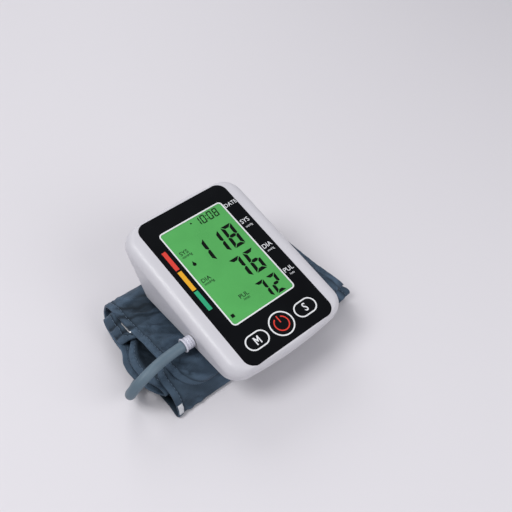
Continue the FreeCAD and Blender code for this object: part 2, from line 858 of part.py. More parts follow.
def make_key(name, side, shape):
    """Cap, hidden flange and plunger of one button, which slides along the panel's normal."""
    body = new_body(name + "_button", "panel")
    roof = S["panel_thickness"] + S["roof"]
    cap = Profile(body, name + "_cap", lift=-roof - S["key_gap"])
    key_outline(cap, shape, side, S["bezel_line"] + S["key_gap"])
    top = pad(cap, roof + S["key_gap"] + S["key_proud"])
    flange = Profile(body, name + "_flange", lift=-roof - S["key_gap"] - S["key_flange"])
    key_outline(flange, shape, side, S["bezel_line"] - S["key_flange"])
    pad(flange, S["key_flange"])
    end = S["board_depth"] - S["switch_height"] + S["plunger_entry"]
    stem = Profile(body, name + "_stem", lift=-end)
    stem.circle(S["button_x"] * side, S["button_y"], S["plunger_diameter"] / 2)
    pad(stem, end - roof - S["key_gap"] - S["key_flange"])
    return body, top


def make_switches():
    body = new_body("switch_bodies", "panel")
    half = S["switch_width"] / 2
    for name, side, shape in KEYS:
        x = S["button_x"] * side
        block(body, name + "_switch", x - half, S["button_y"] - half, x + half,
              S["button_y"] + half, -S["board_depth"], -S["board_depth"] + S["switch_height"])
    for name, side, shape in KEYS:
        top = -S["board_depth"] + S["switch_height"]
        bore(body, name + "_well", S["button_x"] * side, S["button_y"], top - S["well_depth"],
             top + S["overlap"], S["plunger_diameter"] + 2 * S["fit_gap"])
    return body


def make_board():
    board = new_body("main_board", "panel")
    bottom = -S["board_depth"] - S["board_thickness"]
    block(board, "board_plate", -BOARD_HALF, S["board_front"], BOARD_HALF, BOARD_REAR, bottom,
          -S["board_depth"])
    for name, x, y in board_places():
        bore(board, "board_hole_" + name, x, y, bottom - S["overlap"], S["overlap"],
             S["board_screw"] + 2 * S["fit_gap"])
    screws = new_body("board_screws", "panel")
    for name, x, y in board_places():
        column(screws, "screw_head_" + name, x, y, bottom - S["board_head"], bottom,
               S["board_screw"] * 2)
        column(screws, "screw_shank_" + name, x, y, bottom, -S["board_depth"] + S["board_bite"],
               S["board_screw"])
    chip = new_body("processor", "panel")
    size = S["chip_size"] / 2
    block(chip, "chip_body", S["chip_x"] - size, S["chip_y"] - size, S["chip_x"] + size,
          S["chip_y"] + size, bottom - S["chip_height"], bottom)
    buzzer = new_body("buzzer", "panel")
    column(buzzer, "buzzer_can", S["buzzer_x"], BOARD_REAR - S["buzzer_rear_gap"],
           bottom - S["buzzer_height"], bottom, S["buzzer_diameter"])


def make_air_parts():
    """Pump, valve, manifold and socket, joined by short hoses over their nozzles."""
    head_end = PUMP_Y + S["head_length"]
    end = head_end + S["motor_length"]
    motor = new_body("pump_motor", "base")
    shaft(motor, "motor_can", PUMP_X, head_end, end, S["pump_height"], S["motor_diameter"])
    sleeve = new_body("pump_sleeve", "base")
    ring = Profile(sleeve, "sleeve_ring", plane="XZ_Plane", lift=-head_end - S["sleeve_inset"])
    ring.circle(PUMP_X, S["pump_height"], S["pump_diameter"] / 2)
    ring.circle(PUMP_X, S["pump_height"], S["motor_diameter"] / 2)
    pad(ring, S["motor_length"] - 2 * S["sleeve_inset"], upward=False)
    head = new_body("pump_head", "base")
    shaft(head, "head_block", PUMP_X, PUMP_Y, head_end, S["pump_height"],
          S["pump_diameter"])
    shaft(head, "head_nozzle", MANIFOLD_X, PUMP_Y - S["nozzle_length"], PUMP_Y,
          S["socket_height"], S["nozzle_diameter"])
    half = S["manifold_size"] / 2
    low, high = S["socket_height"] - half, S["socket_height"] + S["manifold_top"]
    x, y = MANIFOLD_X, MANIFOLD_Y
    manifold = new_body("air_manifold", "base")
    block(manifold, "manifold_block", x - half, y - half, x + half, y + half, low, high)
    rod(manifold, "nozzle_left", x - half - S["nozzle_length"], x - half, SOCKET_Y,
        S["socket_height"], S["nozzle_diameter"])
    rod(manifold, "nozzle_right", x + half, x + half + S["nozzle_length"], y,
        S["socket_height"], S["nozzle_diameter"])
    shaft(manifold, "nozzle_rear", x, y + half, y + half + S["nozzle_length"],
          S["socket_height"], S["nozzle_diameter"])
    shaft(manifold, "nozzle_front", x, y - half - S["nozzle_length"], y - half,
          S["socket_height"], S["nozzle_diameter"])
    sensor = new_body("pressure_sensor", "base")
    sensor_rear = y - half - S["sensor_reach"]
    wide = S["sensor_size"] / 2
    block(sensor, "sensor_body", x - wide, sensor_rear - S["sensor_size"], x + wide, sensor_rear,
          low, low + S["sensor_height"])
    shaft(sensor, "sensor_nozzle", x, sensor_rear, sensor_rear + S["nozzle_length"],
          S["socket_height"], S["nozzle_diameter"])
    valve = new_body("release_valve", "base")
    valve_x = x + half + S["nozzle_reach"]
    block(valve, "valve_case", valve_x, y - half, valve_x + S["valve_length"], y + half,
          S["valve_low"], S["valve_low"] + S["manifold_size"])
    rod(valve, "valve_nozzle", valve_x - S["nozzle_length"], valve_x, y, S["socket_height"],
        S["nozzle_diameter"])
    socket = new_body("air_socket", "base")
    inner_wall = -HALF_WIDTH + 2 * S["wall"] - S["overlap"]
    rod(socket, "socket_barrel", -HALF_WIDTH + S["socket_sink"], inner_wall,
        SOCKET_Y, S["socket_height"], S["socket_diameter"])
    rod(socket, "socket_flange", -HALF_WIDTH + S["wall"] + 3 * S["overlap"], inner_wall + S["overlap"],
        SOCKET_Y, S["socket_height"], S["socket_diameter"] + S["wall"])
    rod(socket, "socket_nozzle", inner_wall, inner_wall + S["nozzle_length"] + S["overlap"],
        SOCKET_Y, S["socket_height"], S["nozzle_diameter"])
    rod_bore(socket, "socket_bore", -HALF_WIDTH - S["overlap"], inner_wall - S["overlap"],
             SOCKET_Y, S["socket_height"], S["socket_bore"])
    hoses = new_body("inner_hoses", "base")
    inside = S["nozzle_diameter"] + 2 * S["running_gap"]
    start = inner_wall + S["overlap"] * 2
    stop = x - half - S["running_gap"]
    for name, first, last, side in (("socket", start, stop, SOCKET_Y),
                                    ("valve", x + half + S["running_gap"],
                                     valve_x - S["running_gap"], y)):
        rod(hoses, name + "_hose", first, last, side, S["socket_height"], S["hose_diameter"])
    lengthwise = (("pump", y + half + S["running_gap"], PUMP_Y - S["running_gap"]),
                  ("sensor", sensor_rear + S["running_gap"], y - half - S["running_gap"]))
    for name, first, last in lengthwise:
        shaft(hoses, name + "_hose", x, first, last, S["socket_height"], S["hose_diameter"])
    for name, first, last, side in (("socket", start, stop, SOCKET_Y),
                                    ("valve", x + half + S["running_gap"],
                                     valve_x - S["running_gap"], y)):
        rod_bore(hoses, name + "_hose_bore", first, last, side, S["socket_height"], inside)
    for name, first, last in lengthwise:
        shaft_bore(hoses, name + "_hose_bore", x, first, last, S["socket_height"], inside)


def make_batteries():
    cells = new_body("batteries", "base")
    springs = new_body("battery_springs", "base")
    plates = new_body("battery_contacts", "base")
    plate = S["contact_thickness"]
    nub = S["nub_length"]
    spring = S["bay_end_room"] - 2 * plate
    for index in range(int(number(S["cell_count"]))):
        x = S["cell_pitch"] * (index - (int(number(S["cell_count"])) - 1) / 2)
        name = str(index + 1)
        front, rear = BAY_Y + plate, BAY_REAR - plate
        z = S["cell_height"]
        if index % 2 == 0:
            flat, tip = front + spring, rear
            shaft(cells, "cell_" + name, x, flat, tip - nub, z, S["cell_diameter"])
            shaft(cells, "nub_" + name, x, tip - nub, tip, z, S["nub_diameter"])
            coil = front
        else:
            flat, tip = rear - spring, front
            shaft(cells, "cell_" + name, x, tip + nub, flat, z, S["cell_diameter"])
            shaft(cells, "nub_" + name, x, tip, tip + nub, z, S["nub_diameter"])
            coil = rear - spring
        ring = Profile(springs, "spring_" + name, plane="XZ_Plane", lift=-coil)
        ring.circle(x, z, S["spring_diameter"] / 2)
        ring.circle(x, z, S["spring_diameter"] / 2 - S["spring_wire"])
        pad(ring, spring, upward=False)
        half = S["contact_width"] / 2
        block(plates, "front_plate_" + name, x - half, BAY_Y, x + half, front, z - half, z + half)
        block(plates, "rear_plate_" + name, x - half, rear, x + half, BAY_REAR, z - half, z + half)


def make_screws_and_feet():
    screws = new_body("case_screws", "base")
    for name, x, y in screw_places():
        column(screws, "head_" + name, x, y, S["head_recess"] - S["head_height"],
               S["head_recess"], S["screw_head"])
        column(screws, "shank_" + name, x, y, S["head_recess"], S["screw_tip"],
               S["screw_diameter"])
    feet = new_body("rubber_feet", "base")
    for name, x, y in foot_places():
        column(feet, "foot_" + name, x, y, -S["foot_proud"], S["foot_recess"], S["foot_diameter"])


# ---------------------------------------------------------------- cuff


def rolled_layer(body, name, x, width, depth, height, wall, low):
    """Flattened tube of cloth along X, seen from its end as a stadium."""
    profile = Profile(body, name, plane="YZ_Plane", lift=x - width / 2)
    profile.pill(S["cuff_y"], low + height / 2, depth, height)
    profile.pill(S["cuff_y"], low + height / 2, depth - 2 * wall, height - 2 * wall)
    return pad(profile, width)


def turned_bar(name, points, radii, section, bore_size=None, closed=False):
    """A round bar along a route of straight runs joined by tangent arcs."""
    edges = []
    count = len(points)
    corners = range(count) if closed else range(1, count - 1)
    ends = {}
    for index in corners:
        here, back, ahead = points[index], points[index - 1], points[(index + 1) % count]
        into, out = (here - back).normalize(), (ahead - here).normalize()
        half = into.getAngle(out) / 2
        radius = radii[index]
        reach = radius * math.tan(half)
        start, stop = here - into * reach, here + out * reach
        inward = (out - into).normalize()
        middle = here + inward * (radius / math.cos(half) - radius)
        ends[index] = (start, middle, stop)
    if closed:
        for index in range(count):
            start, middle, stop = ends[index]
            edges.append(Part.Arc(start, middle, stop).toShape())
            edges.append(Part.LineSegment(stop, ends[(index + 1) % count][0]).toShape())
    else:
        place_now = points[0]
        for index in corners:
            start, middle, stop = ends[index]
            edges.append(Part.LineSegment(place_now, start).toShape())
            edges.append(Part.Arc(start, middle, stop).toShape())
            place_now = stop
        edges.append(Part.LineSegment(place_now, points[-1]).toShape())
    wire = Part.Wire(edges)
    first = edges[0]
    origin = first.valueAt(first.FirstParameter)
    heading = first.tangentAt(first.FirstParameter)
    circle = Part.Wire([Part.Circle(origin, heading, section / 2).toShape()])
    solid = wire.makePipeShell([circle], True, False)
    if not solid.Solids:
        solid = Part.Solid(solid)
    feature = document.addObject("Part::Feature", name)
    feature.Label = name
    feature.Shape = solid
    parts.append(feature)
    return feature, wire


def make_cuff():
    wrap = new_body("cuff_wrap", "floor")
    rolled_layer(wrap, "wrap_layer", S["cuff_x"], S["cuff_width"], S["cuff_depth"],
                 S["wrap_height"], S["wrap_wall"], 0)
    turn_x = S["cuff_x"] - S["turn_shift"]
    turn = new_body("cuff_inner_turn", "floor")
    rolled_layer(turn, "turn_layer", turn_x, S["cuff_width"], S["turn_depth"],
                 S["turn_height"], S["turn_wall"], S["turn_lift"])
    bore(turn, "port_hole", PORT_X + S["port_length"] - S["port_diameter"] / 2, S["port_y"],
         S["turn_lift"] - S["wall"], S["turn_lift"] + S["turn_wall"] + S["overlap"],
         S["port_diameter"] + 2 * S["cloth_gap"])
    top = S["wrap_height"]
    pad_half = S["cuff_width"] / 2 - S["pad_side_gap"]
    loop_place = (S["cuff_x"] - pad_half, S["loop_front"], S["cuff_x"] + pad_half,
                  S["loop_front"] + S["loop_width"])
    hook_place = (S["cuff_x"] - pad_half + S["pad_margin"], S["loop_front"] + S["pad_margin"],
                  S["cuff_x"] + pad_half - S["pad_margin"], S["loop_front"] + S["hook_width"])
    gap = S["cloth_gap"]
    bed_depth = S["pad_depth"] + gap
    bed = Profile(wrap, "loop_bed", lift=top - bed_depth)
    bed.box(loop_place[0] - gap, loop_place[1] - gap, loop_place[2] + gap, loop_place[3] + gap)
    pocket(bed, bed_depth + S["overlap"], upward=True)
    wire_room = S["ring_wire"] / 2 + gap
    low = S["ring_height"] - wire_room
    for place_name, left, front, right, rear in ring_bars(wire_room):
        bed = Profile(wrap, "ring_bed" + place_name, lift=low).box(left, front, right, rear)
        pocket(bed, top + S["overlap"] - low, upward=True)
    flap = new_body("cuff_flap", "floor")
    low = top + S["flap_gap"]
    left, right = CUFF_LEFT + S["flap_left_gap"], CUFF_RIGHT - S["flap_right_gap"]
    front, rear = S["flap_front"], S["flap_rear"]
    sheet_form = Profile(flap, "flap_sheet", lift=low)
    sheet_form.contour([
        (left + S["flap_corner"], front), (right, front), (right, rear), (left, rear),
        (left, front + S["flap_corner"], S["flap_corner"]),
    ])
    pad(sheet_form, S["flap_thickness"])
    bed = Profile(flap, "hook_bed", lift=low)
    bed.box(hook_place[0] - gap, hook_place[1] - gap, hook_place[2] + gap, hook_place[3] + gap)
    pocket(bed, bed_depth, upward=True)
    hooks = new_body("hook_pad", "floor")
    block(hooks, "hook_sheet", *hook_place, low, low + S["pad_depth"])
    loops = new_body("loop_pad", "floor")
    block(loops, "loop_sheet", *loop_place, top - S["pad_depth"], top)
    bladder = new_body("cuff_bladder", "floor")
    floor = S["turn_lift"] + S["turn_wall"] + S["cloth_gap"]
    half, wide = S["cuff_width"] / 2 - S["bladder_side_gap"], S["bladder_width"] / 2
    level = floor + S["port_flange"] + S["cloth_gap"]
    block(bladder, "bladder_bag", turn_x - half, S["bladder_y"] - wide, turn_x + half,
          S["bladder_y"] + wide, level, level + S["bladder_thickness"])
    port = new_body("cuff_port", "floor")
    centre = TUBE_LEVEL
    stem_x = PORT_X + S["port_length"] - S["port_diameter"] / 2
    rod(port, "port_barrel", PORT_X, PORT_X + S["port_length"], S["port_y"], centre,
        S["port_diameter"])
    column(port, "port_stem", stem_x, S["port_y"], centre, floor + S["port_flange"] / 2,
           S["port_diameter"] - 2 * S["overlap"])
    column(port, "port_disc", stem_x, S["port_y"], floor, floor + S["port_flange"],
           S["port_diameter"] * 2)
    tag = new_body("cuff_tag", "floor")
    block(tag, "tag_sheet", CUFF_LEFT - S["tag_length"], S["tag_y"], CUFF_LEFT,
          S["tag_y"] + S["tag_width"], S["tag_height"], S["tag_height"] + S["tag_thickness"])


def ring_bars(room):
    """The two long and two short sides of the ring, as beds in the cloth around them."""
    left, right = CUFF_LEFT + S["ring_side_gap"], CUFF_RIGHT - S["ring_side_gap"]
    front, rear = S["ring_y"] - S["ring_width"] / 2, S["ring_y"] + S["ring_width"] / 2
    return (
        ("_front", left - room, front - room, right + room, front + room),
        ("_rear", left - room, rear - room, right + room, rear + room),
        ("_left", left - room, front - room, left + room, rear + room),
        ("_right", right - room, front - room, right + room, rear + room),
    )


def size_point(x, y, z):
    return Vector(number(x), number(y), number(z))


def make_ring():
    left, right = CUFF_LEFT + S["ring_side_gap"], CUFF_RIGHT - S["ring_side_gap"]
    front, rear = S["ring_y"] - S["ring_width"] / 2, S["ring_y"] + S["ring_width"] / 2
    points = [size_point(x, y, S["ring_height"])
              for x, y in ((left, front), (right, front), (right, rear), (left, rear))]
    return turned_bar("cuff_ring", points, [number(S["ring_corner"])] * 4,
                      number(S["ring_wire"]), closed=True)


# ---------------------------------------------------------------- plug and tube

# Corners of the tube's route between the plug and the cuff's port, in the floor frame
ROUTE = (
    (-62.0, -17.93, 34.15),
    (-79.7, -22.9, 37.6),
    (-93.2, -20.2, 25.1),
    (-90.1, -11.6, 9.4),
    (-75.6, -2.2, 6.15),
    (-48.0, -2.3, 6.35),
    (-24.4, -29.5, 6.35),
    (12.0, -28.0, 6.35),
    (46.0, -29.5, 6.35),
    (66.4, -9.1, 6.35),
    (66.4, 19.7, 6.35),
    (46.0, 40.1, 6.35),
    (18.0, 38.2, 6.35),
    (-8.0, 40.1, 6.35),
    (-22.1, 26.0, 6.35),
    (-22.1, 6.2, 6.35),
    (-8.0, -7.9, 6.35),
    (11.0, -6.4, 6.35),
    (29.0, -7.9, 6.35),
)


def make_plug_and_tube():
    plug = new_body("air_plug", "base")
    start = -HALF_WIDTH + S["plug_gap"] - S["plug_length"]
    rod(plug, "plug_collar", start, -HALF_WIDTH + S["plug_gap"], SOCKET_Y,
        S["socket_height"], S["plug_diameter"])
    rod(plug, "plug_spigot", -HALF_WIDTH, -HALF_WIDTH + S["wall"], SOCKET_Y,
        S["socket_height"], S["socket_bore"] - 2 * S["running_gap"])
    first = size_point(start + S["unit_x"], SOCKET_Y + S["unit_y"],
                       S["socket_height"] + BASE_Z)
    last = size_point(PORT_X, S["port_y"], TUBE_LEVEL)
    points = [first] + [Vector(*corner) for corner in ROUTE] + [last]
    runs = [(ahead - here).Length for here, ahead in zip(points, points[1:])]
    radii = [0.0]
    for index in range(1, len(points) - 1):
        into, out = points[index] - points[index - 1], points[index + 1] - points[index]
        turn = into.getAngle(out)
        radii.append(0.45 * min(runs[index - 1], runs[index]) / math.tan(turn / 2))
        print("tube corner", index, "turn", round(math.degrees(turn)), "radius",
              round(radii[-1], 1), "runs", round(runs[index - 1], 1), round(runs[index], 1))
    tube, wire = turned_bar("air_tube", points, radii + [0.0], number(S["tube_diameter"]))
    area = math.pi * number(S["tube_diameter"]) ** 2 / 4
    print("tube length", round(wire.Length, 1), "volume over section times length",
          round(tube.Shape.Volume / (area * wire.Length), 4))


# ---------------------------------------------------------------- build and export


def check(item):
    if item.isDerivedFrom("Spreadsheet::Sheet"):
        return
    for word in ("Invalid", "Error"):
        if any(word in state for state in item.State):
            raise RuntimeError(item.Name + " did not build: " + str(item.State))


def build():
    blank = make_casing_blank()
    make_top_shell(blank)
    make_bottom_shell(blank)
    make_battery_door(document.getObject("casing_form"))
    make_front_panel()
    make_display()
    make_bezels()
    for name, side, shape in KEYS:
        make_key(name, side, shape)
    make_switches()
    make_board()
    make_air_parts()
    make_batteries()
    make_screws_and_feet()
    make_cuff()
    make_ring()
    make_plug_and_tube()
    document.recompute()


build()
for item in document.Objects:
    check(item)
os.makedirs("parts", exist_ok=True)
for part in parts:
    shape = part.Shape
    if shape.isNull() or not shape.isValid() or not shape.Solids:
        raise RuntimeError(part.Label + " is not a valid solid")
    shape.exportStep(os.path.join("parts", part.Label + ".step"))
    print(part.Label, len(shape.Solids), "solid(s)", round(shape.Volume), "mm3")
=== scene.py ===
import math

import bmesh
import bpy
from mathutils import Matrix, Vector, noise


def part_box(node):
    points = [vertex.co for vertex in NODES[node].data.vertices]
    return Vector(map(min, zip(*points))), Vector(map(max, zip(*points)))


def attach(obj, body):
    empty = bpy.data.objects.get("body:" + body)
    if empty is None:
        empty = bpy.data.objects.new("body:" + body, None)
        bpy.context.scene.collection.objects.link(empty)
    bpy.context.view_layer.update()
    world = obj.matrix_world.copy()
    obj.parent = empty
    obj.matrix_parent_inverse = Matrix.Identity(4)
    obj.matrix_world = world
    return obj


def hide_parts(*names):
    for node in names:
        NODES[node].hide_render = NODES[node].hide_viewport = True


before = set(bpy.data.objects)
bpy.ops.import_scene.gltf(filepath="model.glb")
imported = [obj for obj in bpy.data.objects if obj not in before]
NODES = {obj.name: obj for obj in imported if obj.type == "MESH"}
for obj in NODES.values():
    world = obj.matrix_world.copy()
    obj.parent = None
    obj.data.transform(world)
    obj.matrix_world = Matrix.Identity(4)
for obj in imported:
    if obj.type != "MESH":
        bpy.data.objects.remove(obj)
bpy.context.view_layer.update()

MM = 0.001
BODY = "monitor_and_cuff"


def corners(name):
    low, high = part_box(name)
    return Vector(low), Vector(high)


# ---------------------------------------------------------------- frames

TILT = math.radians(14.6)
PANEL_LOW, PANEL_HIGH = corners("front_panel")
PANEL_THICK = 1.5
PANEL_ORIGIN = Vector(((PANEL_LOW.x + PANEL_HIGH.x) / 2, PANEL_LOW.y,
                       PANEL_LOW.z + PANEL_THICK * MM * math.cos(TILT)))
PANEL = Matrix.Translation(PANEL_ORIGIN) @ Matrix.Rotation(TILT, 4, "X") @ Matrix.Scale(MM, 4)


def on_panel(x, y, z=0.0):
    """A point of the panel's own millimetres, in the frame's metres."""
    return PANEL @ Vector((x, y, z))


# ---------------------------------------------------------------- node helpers

def node(tree, kind, **inputs):
    """A new node with values for its inputs, whose names have _ for each space."""
    made = tree.nodes.new(kind)
    for name, value in inputs.items():
        made.inputs[name.replace("_", " ")].default_value = value
    return made


def link(tree, source, output, target, slot):
    tree.links.new(source.outputs[output], target.inputs[slot])


def new_material(name):
    material = bpy.data.materials.new(name)
    material.use_nodes = True
    tree = material.node_tree
    shader = tree.nodes["Principled BSDF"]
    return material, tree, shader


def texture(tree, place, kind="ShaderNodeTexNoise", **inputs):
    """A texture node in the object's own coordinates."""
    made = node(tree, kind, **inputs)
    link(tree, place, "Object", made, "Vector")
    return made


def bump(tree, source, output, strength, distance, below=None):
    """A bump from a height, over the normal of an earlier bump where there is one."""
    made = node(tree, "ShaderNodeBump", Strength=strength, Distance=distance * MM)
    link(tree, source, output, made, "Height")
    if below:
        link(tree, below, "Normal", made, "Normal")
    return made


def ranged(tree, source, span, onto=(0.0, 1.0)):
    """The source's factor, mapped from one span of values onto another."""
    made = node(tree, "ShaderNodeMapRange", From_Min=span[0], From_Max=span[1],
                To_Min=onto[0], To_Max=onto[1])
    link(tree, source, "Fac", made, "Value")
    return made


def ramp(tree, source, stops):
    """Colours along the source's factor."""
    made = tree.nodes.new("ShaderNodeValToRGB")
    elements = made.color_ramp.elements
    elements[0].position, elements[0].color = stops[0][0], (*stops[0][1], 1)
    elements[1].position, elements[1].color = stops[-1][0], (*stops[-1][1], 1)
    for position, colour in stops[1:-1]:
        elements.new(position).color = (*colour, 1)
    link(tree, source, "Fac", made, "Fac")
    return made


def shade(colour, factor):
    return tuple(min(1.0, part * factor) for part in colour)


CLOUD_SCALE = 38.0
GLOSS_SPREAD = 0.06
COAT_ROUGH = 0.08
SCATTER_RADIUS = (0.002, 0.0015, 0.001)


def plastic(name, colour, rough=0.35, grain=2600, depth=0.012, mottle=0.04, coat=0.0,
            metal=0.0, subsurface=0.0, gleam=0.5):
    """Moulded plastic: fine moulded grain, faint cloudiness and slightly uneven gloss."""
    material, tree, shader = new_material(name)
    place = tree.nodes.new("ShaderNodeTexCoord")
    cloud = texture(tree, place, Scale=CLOUD_SCALE, Detail=3.0)
    colours = ramp(tree, cloud, [(0.3, shade(colour, 1 - mottle)),
                                 (0.7, shade(colour, 1 + mottle))])
    link(tree, colours, "Color", shader, "Base Color")
    gloss = ramp(tree, cloud, [(0.25, (rough - GLOSS_SPREAD,) * 3),
                               (0.75, (rough + GLOSS_SPREAD,) * 3)])
    link(tree, gloss, "Color", shader, "Roughness")
    fine = texture(tree, place, Scale=grain, Detail=2.0)
    link(tree, bump(tree, fine, "Fac", 0.35, depth), "Normal", shader, "Normal")
    shader.inputs["Metallic"].default_value = metal
    shader.inputs["Specular IOR Level"].default_value = gleam
    shader.inputs["Coat Weight"].default_value = coat
    shader.inputs["Coat Roughness"].default_value = COAT_ROUGH
    if subsurface:
        shader.inputs["Subsurface Weight"].default_value = subsurface
        shader.inputs["Subsurface Radius"].default_value = SCATTER_RADIUS
    return material


# Of the toned cloth: where its pale creases of painted highlight lie on the ridge pattern, the
# shades on them and beside them, and the cloudiness over which they fade in
CREASE_HIGHLIGHT_SPAN = (0.0, 0.024)
CREASE_HIGHLIGHT_SHADES = (1.36, 0.96)
CREASE_HIGHLIGHT_CLOUDS = (0.40, 0.60)
# The weave: how far its threads shade the dye, and its gloss
THREAD_SHADE = 0.35
CLOTH_GLEAM = 0.22
CLOTH_TINT = (0.6, 0.8, 1.0, 1.0)
SHEEN_ROUGH = 0.4


def weave_height(tree, place, threads):
    """The height of crossed threads, threads to the metre each way."""
    waves = []
    for direction in "XYZ":
        wave = texture(tree, place, "ShaderNodeTexWave", Scale=threads / 6.283 * 2,
                       Distortion=0.6, Detail=1.0)
        wave.bands_direction = direction
        waves.append(wave)
    crossed = tree.nodes.new("ShaderNodeMath")
    crossed.operation = "MULTIPLY"
    link(tree, waves[0], "Fac", crossed, 0)
    link(tree, waves[1], "Fac", crossed, 1)
    height = tree.nodes.new("ShaderNodeMath")
    height.operation = "MULTIPLY_ADD"
    height.inputs[1].default_value = 0.5
    link(tree, waves[2], "Fac", height, 0)
    link(tree, crossed, "Value", height, 2)
    return height


def pale_crease_highlights(tree, place, cloud):
    """Painted highlights on pale creases, fading in and out with the cloth's cloudiness."""
    ridges = texture(tree, place, Scale=46.0, Detail=2.5, Roughness=0.45, Distortion=0.5)
    ridges.noise_type = "RIDGED_MULTIFRACTAL"
    faded = tree.nodes.new("ShaderNodeMix")
    faded.inputs[2].default_value = CREASE_HIGHLIGHT_SHADES[1]
    link(tree, ranged(tree, cloud, CREASE_HIGHLIGHT_CLOUDS), "Result", faded, 0)
    link(tree, ranged(tree, ridges, CREASE_HIGHLIGHT_SPAN, CREASE_HIGHLIGHT_SHADES), "Result", faded, 3)
    return faded


def cloth(name, colour, threads=2300.0, depth=0.10, worn=0.35, rough=0.72, cloud_scale=26.0,
          sheen=0.04, toned=False):
    """Plain weave with cloudy dye and soft ripples.

    Toned cloth is shaded by its mesh's own tone too, which is painted light and shade, and creases
    of painted highlight cross it.
    """
    material, tree, shader = new_material(name)
    place = tree.nodes.new("ShaderNodeTexCoord")
    height = weave_height(tree, place, threads)
    cloud = texture(tree, place, Scale=cloud_scale, Detail=5.0, Roughness=0.62)
    dye = ramp(tree, cloud, [(0.28, shade(colour, 1 - worn)), (0.5, colour),
                             (0.74, shade(colour, 1 + worn * 1.3))])
    woven = tree.nodes.new("ShaderNodeMix")
    woven.data_type = "RGBA"
    woven.blend_type = "MULTIPLY"
    woven.inputs["Factor"].default_value = THREAD_SHADE
    link(tree, dye, "Color", woven, 6)
    link(tree, height, "Value", woven, 7)
    threads_bump = bump(tree, height, "Value", 0.5, depth)
    ripple = texture(tree, place, Scale=70.0, Detail=3.0)
    relief = bump(tree, ripple, "Fac", 0.5, 0.8, threads_bump)
    if toned:
        # Pale creases of painted highlight, which also raise a bump
        faded = pale_crease_highlights(tree, place, cloud)
        relief = bump(tree, faded, 0, 0.7, 1.6, relief)
        # The mesh's tone holds painted highlights and painted shade; with the creases' painted
        # highlight it scales the cloth's colour
        tone = tree.nodes.new("ShaderNodeAttribute")
        tone.attribute_name = "tone"
        factor = tree.nodes.new("ShaderNodeMath")
        factor.operation = "MULTIPLY"
        link(tree, tone, "Fac", factor, 0)
        link(tree, faded, 0, factor, 1)
        scale = tree.nodes.new("ShaderNodeVectorMath")
        scale.operation = "SCALE"
        link(tree, woven, 2, scale, 0)
        link(tree, factor, "Value", scale, "Scale")
        link(tree, scale, 0, shader, "Base Color")
    else:
        link(tree, woven, 2, shader, "Base Color")
    link(tree, relief, "Normal", shader, "Normal")
    shader.inputs["Roughness"].default_value = rough
    shader.inputs["Specular IOR Level"].default_value = CLOTH_GLEAM
    shader.inputs["Specular Tint"].default_value = CLOTH_TINT
    shader.inputs["Sheen Weight"].default_value = sheen
    shader.inputs["Sheen Roughness"].default_value = SHEEN_ROUGH
    return material


def glow(material, colour, strength):
    """The same material, lit from behind."""
    shader = material.node_tree.nodes["Principled BSDF"]
    shader.inputs["Emission Color"].default_value = (*colour, 1)
    shader.inputs["Emission Strength"].default_value = strength
    return material


WHITE = (0.565, 0.556, 0.592)
BLACK = (0.0025, 0.003, 0.004)
LCD = (0.070, 0.345, 0.080)
NAVY = (0.0535, 0.0815, 0.118)
LOOKS = {
    "top_shell": plastic("casing_white", WHITE, rough=0.42, mottle=0.025, coat=0.1),
    "front_panel": plastic("panel_black", BLACK, rough=0.24, mottle=0.2, coat=0.03, depth=0.004,
                           gleam=0.1),
    "display_frame": plastic("line_white", (0.72, 0.73, 0.74), rough=0.4),
    "button_bezels": plastic("bezel_white", (0.74, 0.75, 0.76), rough=0.4),
    "lcd_glass": glow(plastic("lcd_green", LCD, rough=0.3, mottle=0.07, coat=0.15), LCD, 0.05),
    "memory_button": plastic("key_black", shade(BLACK, 1.1), rough=0.26, coat=0.03, gleam=0.12),
    "rubber_feet": plastic("foot_rubber", (0.09, 0.09, 0.1), rough=0.8, depth=0.05),
    "main_board": plastic("solder_mask", (0.02, 0.12, 0.045), rough=0.4, grain=900),
    "batteries": plastic("cell_sleeve", (0.03, 0.045, 0.07), rough=0.3, coat=0.4),
    "case_screws": plastic("zinc", (0.5, 0.5, 0.5), rough=0.32, metal=1.0),
    "pump_motor": plastic("motor_steel", (0.45, 0.45, 0.46), rough=0.28, metal=1.0),
    "pump_head": plastic("dark_plastic", (0.03, 0.03, 0.034), rough=0.5),
    "display_carrier": plastic("natural_plastic", (0.6, 0.6, 0.56), rough=0.5),
    "inner_hoses": plastic("clear_hose", (0.5, 0.5, 0.48), rough=0.5, subsurface=0.1),
    "air_plug": plastic("plug_plastic", (0.60, 0.60, 0.68), rough=0.4, coat=0.1),
    "air_tube": plastic("tube_rubber", (0.098, 0.146, 0.186), rough=0.52, mottle=0.12,
                        depth=0.05, grain=1400),
    "cuff_wrap": cloth("nylon_navy", NAVY, worn=0.5, cloud_scale=20.0, rough=0.55, toned=True),
    "thread": plastic("navy_thread", shade(NAVY, 1.5), rough=0.6, grain=4000, depth=0.04),
    "cuff_inner_turn": cloth("nylon_lining", shade(NAVY, 0.8)),
    "hook_pad": cloth("hook_tape", shade(NAVY, 0.4), threads=1500, depth=0.4),
    "loop_pad": cloth("loop_tape", shade(NAVY, 0.6), threads=1200, depth=0.3, sheen=0.6),
    "cuff_bladder": plastic("bladder_sheet", (0.04, 0.045, 0.05), rough=0.45),
    "cuff_ring": plastic("wire_steel", (0.6, 0.6, 0.6), rough=0.22, metal=1.0),
    "cuff_tag": cloth("tag_tape", (0.62, 0.63, 0.66), threads=3000, worn=0.12),
}
